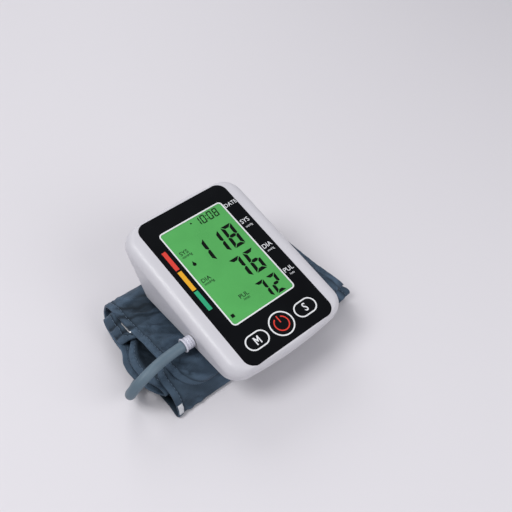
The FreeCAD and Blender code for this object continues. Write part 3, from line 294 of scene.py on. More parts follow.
SAME = {
    "bottom_shell": "top_shell", "battery_door": "top_shell", "air_socket": "display_carrier",
    "backlight_plate": "display_carrier", "contact_strip": "pump_head",
    "power_button": "memory_button", "set_button": "memory_button",
    "switch_bodies": "pump_head", "board_screws": "case_screws", "processor": "pump_head",
    "buzzer": "pump_head", "pressure_sensor": "pump_head", "pump_sleeve": "rubber_feet",
    "air_manifold": "display_carrier", "release_valve": "pump_motor",
    "battery_springs": "pump_motor", "battery_contacts": "pump_motor",
    "cuff_flap": "cuff_inner_turn", "cuff_port": "air_plug",
}
for name, item in NODES.items():
    material = LOOKS[SAME.get(name, name)]
    item.data.materials.clear()
    item.data.materials.append(material)


# ---------------------------------------------------------------- mesh helpers

def add_piece(name, mesh, material, body=BODY, smooth=True):
    piece = bpy.data.objects.new(name, mesh)
    bpy.context.scene.collection.objects.link(piece)
    mesh.materials.clear()
    mesh.materials.append(material)
    if smooth:
        for face in mesh.polygons:
            face.use_smooth = True
    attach(piece, body)
    return piece


def mesh_from(name, verts, faces):
    mesh = bpy.data.meshes.new(name)
    mesh.from_pydata([tuple(point) for point in verts], [], faces)
    mesh.update()
    return mesh


def mended(mesh, weld=None, tones=None):
    """Turns the faces outward, and first gives each point its tone and welds the close ones."""
    work = bmesh.new()
    work.from_mesh(mesh)
    if tones:
        tone = work.verts.layers.float.new("tone")
        for vertex, value in zip(work.verts, tones):
            vertex[tone] = value
    if weld:
        bmesh.ops.remove_doubles(work, verts=work.verts, dist=weld)
        bmesh.ops.dissolve_degenerate(work, edges=work.edges, dist=0.001 * MM)
    bmesh.ops.recalc_face_normals(work, faces=work.faces)
    work.to_mesh(mesh)
    work.free()
    return mesh


def joined(name, groups):
    """One mesh of several lists of points and faces."""
    verts, faces = [], []
    for points, sides in groups:
        start = len(verts)
        verts.extend(points)
        faces.extend([[index + start for index in side] for side in sides])
    return mesh_from(name, verts, faces)


def slab(outline, low, high):
    """A flat plate on the panel between two heights, with the given outline."""
    count = len(outline)
    points = [on_panel(x, y, height) for height in (low, high) for x, y in outline]
    sides = [list(range(count))[::-1], list(range(count, 2 * count))]
    for index in range(count):
        ahead = (index + 1) % count
        sides.append([index, ahead, ahead + count, index + count])
    return points, sides


# Where printed ink starts and ends, over or under the panel's face
PRINT_LOW = -0.02
PRINT_HIGH = 0.035


def printed(name, groups, material, body=BODY):
    """One flat piece of ink."""
    return add_piece(name, joined(name, groups), material, body, smooth=False)


INK_WHITE = plastic("ink_white", (0.74, 0.75, 0.77), rough=0.5)
INK_RED = plastic("ink_red", (0.62, 0.035, 0.02), rough=0.45)
INK_YELLOW = plastic("ink_yellow", (0.72, 0.36, 0.008), rough=0.45)
INK_GREEN = plastic("ink_green", (0.012, 0.33, 0.15), rough=0.45)
INK_POWER = plastic("ink_power", (0.65, 0.035, 0.02), rough=0.4)
INK_LCD = plastic("ink_lcd", (0.001, 0.003, 0.0015), rough=0.5, gleam=0.12)
INK_FAINT = plastic("ink_faint", (0.004, 0.026, 0.008), rough=0.5, gleam=0.2)


# The font's size for capitals of height 1
FONT_SIZE = 1.38


def words(name, text, x, y, height, material, body=BODY, level=PRINT_LOW,
          thick=PRINT_HIGH - PRINT_LOW, spread=1.0, weight=0.0):
    """Plain lettering as thin solid letters, centred on a place of the panel."""
    curve = bpy.data.curves.new(name + "_curve", "FONT")
    curve.body = text
    curve.size = height * FONT_SIZE
    curve.align_x = "CENTER"
    curve.align_y = "CENTER"
    curve.offset = weight
    curve.extrude = thick / 2
    curve.resolution_u = 4
    holder = bpy.data.objects.new(name + "_holder", curve)
    mesh = bpy.data.meshes.new_from_object(holder)
    for vertex in mesh.vertices:
        vertex.co = on_panel(x + vertex.co.x * spread, y + vertex.co.y,
                             level + vertex.co.z + curve.extrude)
    bpy.data.objects.remove(holder)
    bpy.data.curves.remove(curve)
    return add_piece(name, mesh, material, body, smooth=False)


def rectangle(x0, y0, x1, y1):
    return [(x0, y0), (x1, y0), (x1, y1), (x0, y1)]


def circle_points(x, y, radius, start=0.0, turn=360.0, steps=72):
    closed = abs(turn - 360.0) < 1e-6
    count = steps if closed else steps + 1
    return [(x + radius * math.cos(math.radians(start + turn * k / steps)),
             y + radius * math.sin(math.radians(start + turn * k / steps)))
            for k in range(count)]


# Printed bars left of the display
BAR_LEFT, BAR_RIGHT = -33.3, -30.2
for name, low, high, ink in (("bar_red", 82.9, 99.2, INK_RED),
                             ("bar_yellow", 64.7, 81.4, INK_YELLOW),
                             ("bar_green", 47.4, 63.6, INK_GREEN)):
    printed(name, [slab(rectangle(BAR_LEFT, low, BAR_RIGHT, high), PRINT_LOW, PRINT_HIGH)], ink)

# Legends right of the display
LEGEND_SPREAD = 0.92
for name, text, x, y, height in (
        ("legend_date", "DATE", 31.6, 106.3, 3.3), ("legend_sys", "SYS", 31.0, 89.4, 3.7),
        ("legend_dia", "DIA", 31.0, 65.0, 3.7), ("legend_pul", "PUL", 31.0, 42.2, 3.7),
        ("legend_sys_unit", "mmHg", 31.2, 84.6, 1.7), ("legend_dia_unit", "mmHg", 31.2, 60.9, 1.7),
        ("legend_pul_unit", "/min", 31.2, 38.2, 1.7)):
    words(name, text, x, y, height, INK_WHITE, spread=LEGEND_SPREAD)

# Display digits: seven bars each, in a dark layer at the glass's face
SEGMENTS = {"0": "abcdef", "1": "bc", "2": "abged", "3": "abgcd", "4": "fgbc", "5": "afgcd",
            "6": "afgedc", "7": "abc", "8": "abcdefg", "9": "abcdfg"}
GLASS_TOP = -0.3
LCD_HIGH = GLASS_TOP + 0.03
LCD_LOW = GLASS_TOP - 0.02
DIGIT_SLANT = 0.06
BAR_GAP = 0.16


def shown(outline):
    """A dark shape of the display."""
    return slab(outline, LCD_LOW, LCD_HIGH)


def digit(text, right, low, width, height, bar):
    """The bars of one digit, whose right edge and lower edge are given."""
    left, gap = right - width, bar * BAR_GAP
    middle, high = low + height / 2, low + height
    half, tip = bar / 2, gap * 0.4
    shapes = {
        "a": [(left + gap, high), (right - gap, high), (right - bar - gap, high - bar),
              (left + bar + gap, high - bar)],
        "d": [(left + bar + gap, low + bar), (right - bar - gap, low + bar), (right - gap, low),
              (left + gap, low)],
        "g": [(left + half + gap, middle), (left + bar + gap, middle + half),
              (right - bar - gap, middle + half), (right - half - gap, middle),
              (right - bar - gap, middle - half), (left + bar + gap, middle - half)],
        "b": [(right, high - gap), (right, middle + gap), (right - half, middle + tip),
              (right - bar, middle + half + gap), (right - bar, high - bar - gap)],
        "c": [(right, low + gap), (right - bar, low + bar + gap),
              (right - bar, middle - half - gap), (right - half, middle - tip),
              (right, middle - gap)],
        "f": [(left, high - gap), (left + bar, high - bar - gap),
              (left + bar, middle + half + gap), (left + half, middle + tip),
              (left, middle + gap)],
        "e": [(left, low + gap), (left, middle - gap), (left + half, middle - tip),
              (left + bar, middle - half - gap), (left + bar, low + bar + gap)],
    }
    groups = []
    for letter in SEGMENTS[text]:
        outline = [(x + (y - low) * DIGIT_SLANT, y) for x, y in shapes[letter]]
        ahead = outline[1:] + outline[:1]
        area = sum(a[0] * b[1] - b[0] * a[1] for a, b in zip(outline, ahead))
        groups.append(shown(outline if area > 0 else outline[::-1]))
    return groups


def reading(name, text, rights, low, width, height, bar):
    groups = []
    for symbol, right in zip(text, rights):
        groups.extend(digit(symbol, right, low, width, height, bar))
    return printed(name, groups, INK_LCD)


reading("reading_systolic", "118", (-4.4, 8.3, 20.2), 74.9, 8.9, 19.0, 2.55)
reading("reading_diastolic", "76", (8.3, 20.2), 51.4, 8.9, 18.2, 2.55)
reading("reading_pulse", "72", (10.4, 20.2), 31.4, 7.4, 14.6, 2.2)
reading("reading_time", "1008", (4.5, 9.2, 15.0, 19.8), 103.0, 3.7, 7.0, 0.92)
printed("reading_colon", [shown(rectangle(9.95, 104.4, 10.75, 105.3)),
                          shown(rectangle(10.15, 107.4, 10.95, 108.3))],
        INK_LCD)
# The small marks: a square, one before the time and a drop
printed("display_marks", [shown(rectangle(-23.9, 34.6, -21.4, 37.2)),
                          shown([(-2.8, 107.6), (-1.2, 107.6), (-1.6, 108.7), (-2.4, 108.7)]),
                          shown(circle_points(-19.6, 80.6, 1.35, steps=24)),
                          shown([(-20.3, 81.7), (-18.9, 81.7), (-19.6, 83.6)])],
        INK_LCD)
SMALL_WORDS = (
    ("small_sys", "SYS", -20.2, 91.7), ("small_sys_unit", "mmHg", -19.6, 88.7),
    ("small_dia", "DIA", -20.4, 67.2), ("small_dia_unit", "mmHg", -19.8, 64.2),
    ("small_pul", "PUL", -7.0, 43.9), ("small_pul_unit", "/min", -6.6, 41.0),
)
for name, text, x, y in SMALL_WORDS:
    unit = name.endswith("unit")
    words(name, text, x, y, 2.1 if unit else 3.2, INK_FAINT, level=LCD_LOW,
          thick=LCD_HIGH - LCD_LOW, weight=0.03 if unit else 0.05)

# Letters and the power symbol on the keys, whose tops stand over the panel
KEY_TOP = 0.3
KEY_INK = (KEY_TOP + PRINT_LOW, KEY_TOP + PRINT_HIGH)
KEY_X, KEY_Y = 20.8, 13.2
words("letter_s", "S", KEY_X, KEY_Y, 6.2, INK_WHITE, body="set_button",
      level=KEY_INK[0], weight=0.09, spread=0.8)
M_SHAPE = [(-2.05, -2.9), (-1.2, -2.9), (-1.2, 1.0), (0.0, -1.5), (1.2, 1.0), (1.2, -2.9),
           (2.05, -2.9), (2.05, 2.9), (1.2, 2.9), (0.0, 0.45), (-1.2, 2.9), (-2.05, 2.9)]
printed("letter_m", [slab([(x - KEY_X, y + KEY_Y) for x, y in M_SHAPE], *KEY_INK)],
        INK_WHITE, body="memory_button")


ARC_STEPS = 56


def arc_band(x, y, outer, inner, start, turn):
    """The outline of a part of a ring."""
    ring_out = circle_points(x, y, outer, start, turn, ARC_STEPS)
    return ring_out + circle_points(x, y, inner, start, turn, ARC_STEPS)[::-1]


printed("power_symbol", [slab(arc_band(0, 13.3, 5.55, 4.7, 118, 304), *KEY_INK),
                         slab(rectangle(-0.42, 14.2, 0.42, 19.4), *KEY_INK)],
        INK_POWER, body="power_button")


# ---------------------------------------------------------------- tube and plug

PLUG_LOW, PLUG_HIGH = corners("air_plug")
PLUG_Y = (PLUG_LOW.y + PLUG_HIGH.y) / 2
PLUG_Z = (PLUG_LOW.z + PLUG_HIGH.z) / 2
PLUG_END = PLUG_LOW.x + 2.3 * MM
TUBE_DIAMETER = 7.2 * MM
TUBE_IN_PLUG = 1.5 * MM
PORT_END = (corners("cuff_port")[0].x, -7.9 * MM, 6.35 * MM)
# The tube's way from the plug into the roll and round in it, in millimetres
ROUTE = (
    (-62.0, -17.93, 34.15), (-79.7, -22.9, 37.6), (-93.2, -20.2, 25.1), (-90.1, -11.6, 9.4),
    (-75.6, -2.2, 6.15), (-48.0, -2.3, 6.35), (-24.4, -29.5, 6.35), (12.0, -28.0, 6.35),
    (46.0, -29.5, 6.35), (66.4, -9.1, 6.35), (66.4, 19.7, 6.35), (46.0, 40.1, 6.35),
    (18.0, 38.2, 6.35), (-8.0, 40.1, 6.35), (-22.1, 26.0, 6.35), (-22.1, 6.2, 6.35),
    (-8.0, -7.9, 6.35), (11.0, -6.4, 6.35), (29.0, -7.9, 6.35),
)


def make_tube():
    """The air tube as one smooth cord, from inside the plug to the cuff's port."""
    points = [Vector((PLUG_END + TUBE_IN_PLUG, PLUG_Y, PLUG_Z))]
    points += [Vector(corner) * MM for corner in ROUTE]
    points.append(Vector(PORT_END))
    curve = bpy.data.curves.new("air_tube_line", "CURVE")
    curve.dimensions = "3D"
    spline = curve.splines.new("NURBS")
    spline.points.add(len(points) - 1)
    for point, place in zip(spline.points, points):
        point.co = (*place, 1)
    spline.order_u = 3
    spline.use_endpoint_u = True
    spline.resolution_u = 10
    curve.bevel_depth = TUBE_DIAMETER / 2
    curve.bevel_resolution = 7
    curve.use_fill_caps = True
    tube = bpy.data.objects.new("air_tube_hose", curve)
    bpy.context.scene.collection.objects.link(tube)
    curve.materials.append(LOOKS["air_tube"])
    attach(tube, BODY)
    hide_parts("air_tube")
    return tube


LATHE_STEPS = 64


def lathe(name, profile, centre, material):
    """A turned shape along X: profile gives (x, radius) from the right end to the left."""
    verts, faces = [], []
    for x, radius in profile:
        for k in range(LATHE_STEPS):
            angle = 2 * math.pi * k / LATHE_STEPS
            verts.append((x, centre[0] + radius * math.cos(angle),
                          centre[1] + radius * math.sin(angle)))
    for row in range(len(profile) - 1):
        start = row * LATHE_STEPS
        for k in range(LATHE_STEPS):
            ahead = (k + 1) % LATHE_STEPS
            faces.append([start + k, start + ahead, start + LATHE_STEPS + ahead,
                          start + LATHE_STEPS + k])
    faces.append(list(range(LATHE_STEPS))[::-1])
    faces.append(list(range(len(verts) - LATHE_STEPS, len(verts))))
    return add_piece(name, mended(mesh_from(name, verts, faces)), material)


def make_plug():
    """Ribbed collar with a thin flange where the tube goes in."""
    right, left = PLUG_HIGH.x, PLUG_END
    bore, spigot, radius, rim_radius = 1.0 * MM, 2.25 * MM, 4.45 * MM, 5.0 * MM
    soft, groove, ribs = 0.3 * MM, 0.62 * MM, 3
    face = right - 2.15 * MM
    profile = [(right, bore), (right, spigot), (face, spigot), (face, radius - soft),
               (face - soft, radius)]
    start = face - 1.0 * MM
    pitch = (start - left - 1.3 * MM) / ribs
    for index in range(ribs):
        x = start - index * pitch
        profile += [(x, radius), (x - pitch * 0.12, radius - groove),
                    (x - pitch * 0.46, radius - groove), (x - pitch * 0.58, radius)]
    profile += [(left + 1.15 * MM, radius), (left + 0.95 * MM, rim_radius - 0.15 * MM),
                (left + 0.75 * MM, rim_radius), (left + 0.25 * MM, rim_radius),
                (left, rim_radius - soft), (left, TUBE_DIAMETER / 2 + 0.35 * MM),
                (left + 0.9 * MM, TUBE_DIAMETER / 2 + 0.02 * MM)]
    plug = lathe("air_plug_collar", profile, (PLUG_Y, PLUG_Z), LOOKS["air_plug"])
    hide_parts("air_plug")
    return plug


tube = make_tube()
plug = make_plug()


# ---------------------------------------------------------------- cuff

# Stations along the cloth band, from its inner end to the flap: y and z of its middle surface
# and where its left and right edges lie
BAND = (
    (36.0, 17.6, -58.0, 73.0), (26.0, 17.2, -61.5, 73.0), (18.0, 16.8, -69.0, 73.5),
    (11.0, 16.4, -74.8, 74.0), (3.0, 16.3, -78.2, 74.0), (-5.0, 16.6, -79.0, 74.0),
    (-13.0, 17.2, -78.4, 74.0), (-20.0, 17.4, -76.6, 74.0), (-26.0, 16.6, -75.0, 74.0),
    (-29.0, 14.4, -74.6, 74.0), (-26.0, 12.2, -75.6, 74.0), (-19.0, 11.6, -78.6, 74.0),
    (-12.0, 12.0, -80.8, 74.0), (-4.0, 12.6, -82.0, 74.0), (4.5, 12.2, -81.8, 74.0),
    (12.0, 11.5, -79.8, 74.0), (18.5, 11.2, -76.2, 74.0), (28.0, 11.2, -74.6, 74.0),
    (36.5, 11.5, -73.6, 74.0), (43.0, 13.0, -72.8, 74.0), (45.8, 16.0, -72.2, 74.0),
    (44.0, 19.4, -72.4, 73.5), (38.0, 21.0, -73.2, 73.0), (31.0, 21.2, -73.6, 72.5),
    (22.0, 21.2, -73.2, 72.5), (13.0, 21.2, -60.5, 72.0), (2.0, 21.2, -58.0, 72.0),
    (-9.0, 21.4, -62.5, 72.0), (-17.0, 21.6, -71.0, 72.0), (-23.2, 21.5, -73.2, 73.0),
    (-29.0, 19.6, -73.0, 74.4), (-33.8, 14.8, -72.4, 77.2), (-37.2, 9.2, -72.4, 80.6),
    (-39.6, 4.4, -72.9, 82.2), (-40.4, 2.5, -73.6, 82.6), (-39.2, 1.25, -73.8, 82.0),
    (-33.0, 1.0, -73.2, 79.8), (-19.0, 1.0, -72.8, 77.0), (0.0, 1.0, -72.6, 77.0),
    (20.0, 1.0, -72.2, 77.0), (38.0, 1.0, -71.4, 76.0), (48.5, 2.4, -69.6, 75.4),
    (54.2, 6.8, -67.6, 74.8), (56.0, 12.8, -66.2, 74.0), (54.4, 19.0, -65.4, 73.0),
    (49.6, 23.0, -65.8, 72.4), (42.0, 23.75, -65.6, 72.0), (28.0, 23.65, -65.6, 72.0),
    (12.0, 23.6, -65.2, 72.0), (-4.0, 23.6, -65.0, 72.0), (-15.0, 23.6, -65.0, 72.0),
    (-23.0, 23.4, -64.8, 72.7), (-29.6, 21.8, -64.4, 74.2), (-34.6, 17.4, -63.6, 77.0),
    (-37.4, 13.0, -62.6, 79.0),
)
# In millimetres: the sewn hem, half the thickness of plain cloth, the flap's rounded corner, the
# step between rows and the least gap to the table
HEM = 4.5
CLOTH = 0.75
FLAP_CORNER = 17.0
ROW_STEP = 1.45
TABLE_GAP = 0.12
# Distances from an edge at which each row has its points, and how many lie between the edges' own
EDGE_STEPS = (0.0, 0.08, 0.25, 0.5, 0.9, 1.8, 2.8, 3.7, 4.1, 4.35, HEM, 4.65, 4.9, 5.4, 6.2, 7.4,
              9.0, 11.0, 13.0, 15.2, 17.6, 20.2, 23.0, 26.0, 30.0)
MIDDLE = 11
COLUMNS = len(EDGE_STEPS) * 2 + MIDDLE
# The hem: how much thicker it is, how wide its rounded edge, and its stitch line's groove
HEM_SWELL = 1.3
HEM_ROUND = 0.9
GROOVE_DEPTH, GROOVE_WIDTH = 0.42, 0.4
# Each pair below is a span of x, y or z in millimetres, over which something grows from none to
# full. First where the cloth is free at its left and right ends, and where the larger creases lie
LEFT_FREE, RIGHT_FREE, CREASES_X = (-40.0, -52.0), (59.0, 66.0), (-48.5, -52.0)
# Where the metal ring holds the cloth flat: across the roll, and the middle and reach along it
RING_X, RING_Y, RING_REACH = (-55.0, -61.0), 27.0, 9.5
# Where the front slope's waves are stronger
SLOPE_Z, SLOPE_Y = (12.0, 8.0), (-30.0, -36.0)
# The top layer's left end, which lifts a little, and how far
CURL_X, CURL = (-52.0, -62.0), 0.55
# The wrap's left lobe: along the roll, its gathers, the ring's hold on it, and how far it hangs
LOBE_IN, LOBE_OUT = (14.0, 25.0), (47.0, 41.0)
GATHER_X, HELD_X, LOBE_X, LOBE_HANG = (-64.0, -69.0), (-69.0, -67.0), (-66.6, -74.2), 6.6
# The right front corner, and how far its top and lower layer stand up from the table
LIFT_Y, LIFT_X, LIFT_TOP_Z, LIFT_LOW_Z = (-18.0, -40.0), (66.0, 82.0), (24.0, 13.0), (13.5, 3.5)
LIFT_TOP, LIFT_LOW = 2.4, 4.6
# The hollow of the inner turn, and how far the cloth sags there
BOWL_IN, BOWL_OUT, BOWL_Z, BOWL_SAG = (-18.0, -8.0), (26.0, 18.0), (15.0, 16.0), 2.0
# Where painted shade darkens the cloth towards its right end
RIGHT_DARK_X = (48.0, 60.0)
# The inner turn ends at the first row beyond this y and z. The gathers lie above GATHER_Z, and the
# wrap's inside is shaded below SHADED_Z
TURN_Y, TURN_Z = 42, 18
GATHER_Z, SHADED_Z = 17, 8
# The shares of the band's length between which the top layer begins
TOP_SHARE = (0.86, 0.9)
# Where in the noise the folds are taken
FOLD_SEED = 3.7
# The flap's larger creases: from x, y to x, y, with a width and a height
CREASES = ((-60.0, 6.0, -50.0, -4.0, 1.9, 1.5), (-61.0, 38.0, -53.0, 24.0, 3.4, 1.0),
           (-58.0, -8.0, -52.0, -15.0, 2.2, 0.9), (-56.0, 17.0, -50.0, 12.0, 1.6, 0.9),
           (-60.0, -24.0, -52.0, -27.0, 2.4, 0.7), (-57.0, 47.0, -50.0, 44.0, 2.6, 0.6))


def through(stations, step):
    """Points a step apart on a smooth curve through the stations, with all their numbers."""
    rows = []
    for index in range(len(stations) - 1):
        before = stations[max(index - 1, 0)]
        here, ahead = stations[index], stations[index + 1]
        after = stations[min(index + 2, len(stations) - 1)]
        spans = [max(math.hypot(b[0] - a[0], b[1] - a[1]), 1e-6)
                 for a, b in ((before, here), (here, ahead), (ahead, after))]
        leave, arrive = [], []
        for part in range(len(here)):
            slope = (ahead[part] - here[part]) / spans[1]
            back = (here[part] - before[part]) / spans[0] if index else slope
            on = (after[part] - ahead[part]) / spans[2] if index < len(stations) - 2 else slope
            leave.append((back * spans[1] + slope * spans[0]) / (spans[0] + spans[1]) * spans[1])
            arrive.append((slope * spans[2] + on * spans[1]) / (spans[1] + spans[2]) * spans[1])
        count = max(2, round(spans[1] / step))
        for k in range(count):
            t = k / count
            weights = (2 * t ** 3 - 3 * t ** 2 + 1, t ** 3 - 2 * t ** 2 + t,
                       -2 * t ** 3 + 3 * t ** 2, t ** 3 - t ** 2)
            rows.append([weights[0] * here[part] + weights[1] * leave[part]
                         + weights[2] * ahead[part] + weights[3] * arrive[part]
                         for part in range(len(here))])
    rows.append(list(stations[-1]))
    return rows


def smoothstep(low, high, value):
    t = min(1.0, max(0.0, (value - low) / (high - low)))
    return t * t * (3 - 2 * t)


def rim(distance):
    """Half the cloth's thickness at a distance from its nearest edge: hem, stitch line, plain."""
    if distance < HEM_ROUND:
        return CLOTH * HEM_SWELL * math.sqrt(max(0.0, 1 - (1 - distance / HEM_ROUND) ** 2))
    if distance < HEM - 0.5:
        return CLOTH * HEM_SWELL
    groove = math.exp(-((distance - HEM) / GROOVE_WIDTH) ** 2) * GROOVE_DEPTH
    settle = smoothstep(HEM - 0.5, HEM + 1.2, distance)
    return CLOTH * (HEM_SWELL - (HEM_SWELL - 1) * settle) - groove


def free_cloth(x):
    """How freely the cloth may move: fully at its ends, hardly under the monitor."""
    return 0.12 + 0.88 * max(smoothstep(*LEFT_FREE, x), smoothstep(*RIGHT_FREE, x) * 0.4)


def folds(x, along, side):
    """Creases and hem puckers of the cloth in millimetres, up from its middle surface."""
    broad = noise.noise(Vector((x * 0.045, along * 0.045, FOLD_SEED))) * 1.5
    skew = Vector(((x * 0.8 + along * 0.6) * 0.035, (along * 0.8 - x * 0.6) * 0.13,
                   FOLD_SEED + 5.3))
    cross = Vector(((x * 0.5 - along * 0.87) * 0.05, (along * 0.5 + x * 0.87) * 0.11,
                    FOLD_SEED + 9.1))
    crease = max(0.0, 1.0 - abs(noise.noise(skew)) * 3.2) ** 2 * 1.5
    crease -= max(0.0, 1.0 - abs(noise.noise(cross)) * 4.0) ** 3 * 0.9
    crease *= 0.3 + 0.7 * smoothstep(1.0, 7.5, side)
    near_hem = math.exp(-((side - HEM) / 4.0) ** 2)
    pucker = noise.noise(Vector((along * 0.19, FOLD_SEED + 2.0, 0.0))) * near_hem
    return broad + crease + pucker * 0.6


def creases(x, y):
    """The few larger creases that the flap shows beside the monitor."""
    rise = 0.0
    for x0, y0, x1, y1, width, height in CREASES:
        run_x, run_y = x1 - x0, y1 - y0
        share = ((x - x0) * run_x + (y - y0) * run_y) / (run_x ** 2 + run_y ** 2)
        near = min(1.0, max(0.0, share))
        away = math.hypot(x - x0 - run_x * near, y - y0 - run_y * near)
        rise += height * math.exp(-(away / width) ** 2)
    return rise * smoothstep(*CREASES_X, x)


def bowl(y, z):
    """Where the inner turn's upper cloth sags into the hollow of the roll, at its left end."""
    return smoothstep(*BOWL_IN, y) * smoothstep(*BOWL_OUT, y) * smoothstep(*BOWL_Z, z)


def row_edges(row, to_end):
    """The left and right edge of a row, with the flap's left corner rounded."""
    cut = 0.0
    if to_end < FLAP_CORNER:
        cut = FLAP_CORNER - math.sqrt(max(0.0, FLAP_CORNER ** 2 - (FLAP_CORNER - to_end) ** 2))
    return row[2] + cut, row[3]


def row_places(left, right):
    """Where a row has its points: close at the hems and wide apart under the monitor."""
    places = [left + step for step in EDGE_STEPS]
    gap = (right - EDGE_STEPS[-1]) - places[-1]
    places += [places[-1] + gap * (k + 1) / (MIDDLE + 1) for k in range(MIDDLE)]
    return places + [right - step for step in reversed(EDGE_STEPS)]


def edge_distance(x, row, left, right, start, to_end):
    """How far a point is from the band's nearest edge, also at the rounded corner."""
    edge = min(x - left, right - x, start, to_end)
    across, down = FLAP_CORNER - (x - row[2]), FLAP_CORNER - to_end
    if across > 0 and down > 0:
        edge = min(edge, FLAP_CORNER - math.hypot(across, down))
    return max(0.0, edge)


def lie(x, row, left, right, along, top, beyond):
    """How far the cloth waves out of its surface, how far it rises, and how much painted shade its
    gathers get.

    top is 1 on the uppermost layer, and beyond counts the rows past the inner turn.
    """
    y, z = row[:2]
    loose = free_cloth(x)
    wave = folds(x, along, min(x - left, right - x)) * loose
    by_ring = math.exp(-((y - RING_Y) / RING_REACH) ** 4) * smoothstep(*RING_X, x)
    lifted = smoothstep(*LIFT_Y, y) * smoothstep(*LIFT_X, x)
    if top > 0:
        wave = wave * (1 - top) + max(wave * 1.5, -0.45 * loose) * top
        wave = wave * (1 - 0.85 * by_ring) + creases(x, y) * top
        rise = CURL * top * smoothstep(*CURL_X, x)
        rise += LIFT_TOP * lifted * smoothstep(*LIFT_TOP_Z, z)
        return wave, rise, 0.0
    wave *= 0.6 + 0.3 * smoothstep(*SLOPE_Z, z) * smoothstep(*SLOPE_Y, y)
    rise, dark = 0.0, 0.0
    if beyond >= 0 and z > GATHER_Z:
        lobe = smoothstep(*LOBE_IN, y) * smoothstep(*LOBE_OUT, y)
        swirl = 2.2 * noise.noise(Vector((x * 0.16, y * 0.16, 1.3)))
        gather = math.sin(y * 0.62 + 0.35 * x + swirl) * 0.75
        wave = wave * (1 + 0.8 * lobe) + gather * lobe * smoothstep(*GATHER_X, x)
        wave *= 1 - 0.9 * by_ring * smoothstep(*HELD_X, x)
        rise = -LOBE_HANG * lobe * smoothstep(*LOBE_X, x)
        # Painted shade in the lobe's gathers, deepest in their hollows
        dark = lobe * (0.35 + 0.5 * smoothstep(-0.1, 0.9, -gather))
    if beyond > 0:
        rise += LIFT_LOW * lifted * smoothstep(*LIFT_LOW_Z, z)
    elif beyond < 0:
        rise -= BOWL_SAG * smoothstep(HEM, HEM + 6.0, x - left) * bowl(y, z)
    return wave, rise, dark


def tones(x, z, along, side, wave, dark, beyond):
    """Shades of the outer and inner face, 1 for the dye's own: painted highlight on the hem,
    painted shade in the seam's groove, painted light and shade on the folds with random patches,
    painted shade inside.
    """
    deep = smoothstep(HEM + 0.2, HEM + 3.0, side)
    # Painted highlight on the raised hem
    hem = 1.4 - 0.4 * smoothstep(HEM - 0.4, HEM + 0.8, side)
    # Painted shade towards the right end
    hem *= 1 - 0.4 * smoothstep(*RIGHT_DARK_X, x)
    # Painted shade in the stitch line's groove
    seam = 1.0 - 0.5 * math.exp(-((side - HEM - 0.4) / 0.5) ** 2)
    # Painted light on raised folds and painted shade in their hollows, with random patches of the
    # dye's own tone
    patch = noise.noise(Vector((x * 0.11, along * 0.11, 7.7)))
    fold_light_and_mottle = max(0.58, 0.98 + 0.45 * max(-1.0, min(1.2, wave)) + 0.22 * patch)
    # Painted shade in the hollow of the inner turn
    hollow_shade = 0.22 if beyond < 0 else fold_light_and_mottle
    # Painted shadow on the wrap's inside low down, under the front slope
    under = 0.4 if z < SHADED_Z and beyond > 0 else 1.0
    # Away from its hem the inner face gets painted shade too
    return (hem * seam * (1 - deep + deep * hollow_shade) * (1 - dark),
            hem * (1 - 0.7 * deep) * under)


def sheet_faces(down, across):
    """The faces of a thin sheet: two grids of points, closed round their rim."""
    size = down * across
    faces = []
    for r in range(down - 1):
        for c in range(across - 1):
            a = r * across + c
            faces.append([a, a + 1, a + across + 1, a + across])
            faces.append([size + a, size + a + across, size + a + across + 1, size + a + 1])
    ring = list(range(across))
    ring += [r * across + across - 1 for r in range(1, down)]
    ring += [(down - 1) * across + c for c in range(across - 2, -1, -1)]
    ring += [r * across for r in range(down - 2, 0, -1)]
    for a, b in zip(ring, ring[1:] + ring[:1]):
        faces.append([a, size + a, size + b, b])
    return faces


def make_band():
    """The whole cloth band as one hemmed sheet: inner turn, wrap and flap."""
    rows = through(BAND, ROW_STEP)
    along = [0.0]
    for a, b in zip(rows, rows[1:]):
        along.append(along[-1] + math.hypot(b[0] - a[0], b[1] - a[1]))
    total = along[-1]
    turn_rows = min(index for index, row in enumerate(rows)
                    if row[0] > TURN_Y and row[1] > TURN_Z)
    outer, inner, outer_tone, inner_tone = [], [], [], []
    for index, row in enumerate(rows):
        before, after = rows[max(index - 1, 0)], rows[min(index + 1, len(rows) - 1)]
        run = Vector((0.0, after[0] - before[0], after[1] - before[1])).normalized()
        out = Vector((0.0, run.z, -run.y))
        start, to_end, beyond = along[index], total - along[index], index - turn_rows
        left, right = row_edges(row, to_end)
        top = smoothstep(total * TOP_SHARE[0], total * TOP_SHARE[1], start)
        for x in row_places(left, right):
            half = rim(edge_distance(x, row, left, right, start, to_end))
            wave, rise, dark = lie(x, row, left, right, start, top, beyond)
            centre = Vector((x, row[0], row[1] + rise)) + out * wave
            centre.z = max(centre.z, half + TABLE_GAP)
            outer.append((centre + out * half) * MM)
            inner.append((centre - out * half) * MM)
            side = min(x - left, right - x)
            # Each point's tone: painted highlights and painted shade on both faces
            shades = tones(x, row[1], start, side, wave, dark, beyond)
            outer_tone.append(shades[0])
            inner_tone.append(shades[1])
    mesh = mesh_from("cuff_cloth_band", outer + inner, sheet_faces(len(rows), COLUMNS))
    mended(mesh, weld=0.02 * MM, tones=outer_tone + inner_tone)
    piece = add_piece("cuff_cloth_band", mesh, LOOKS["cuff_wrap"])
    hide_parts("cuff_wrap", "cuff_inner_turn", "cuff_flap")
    return piece, {"rows": rows, "length": total * MM, "outer": outer, "inner": inner}


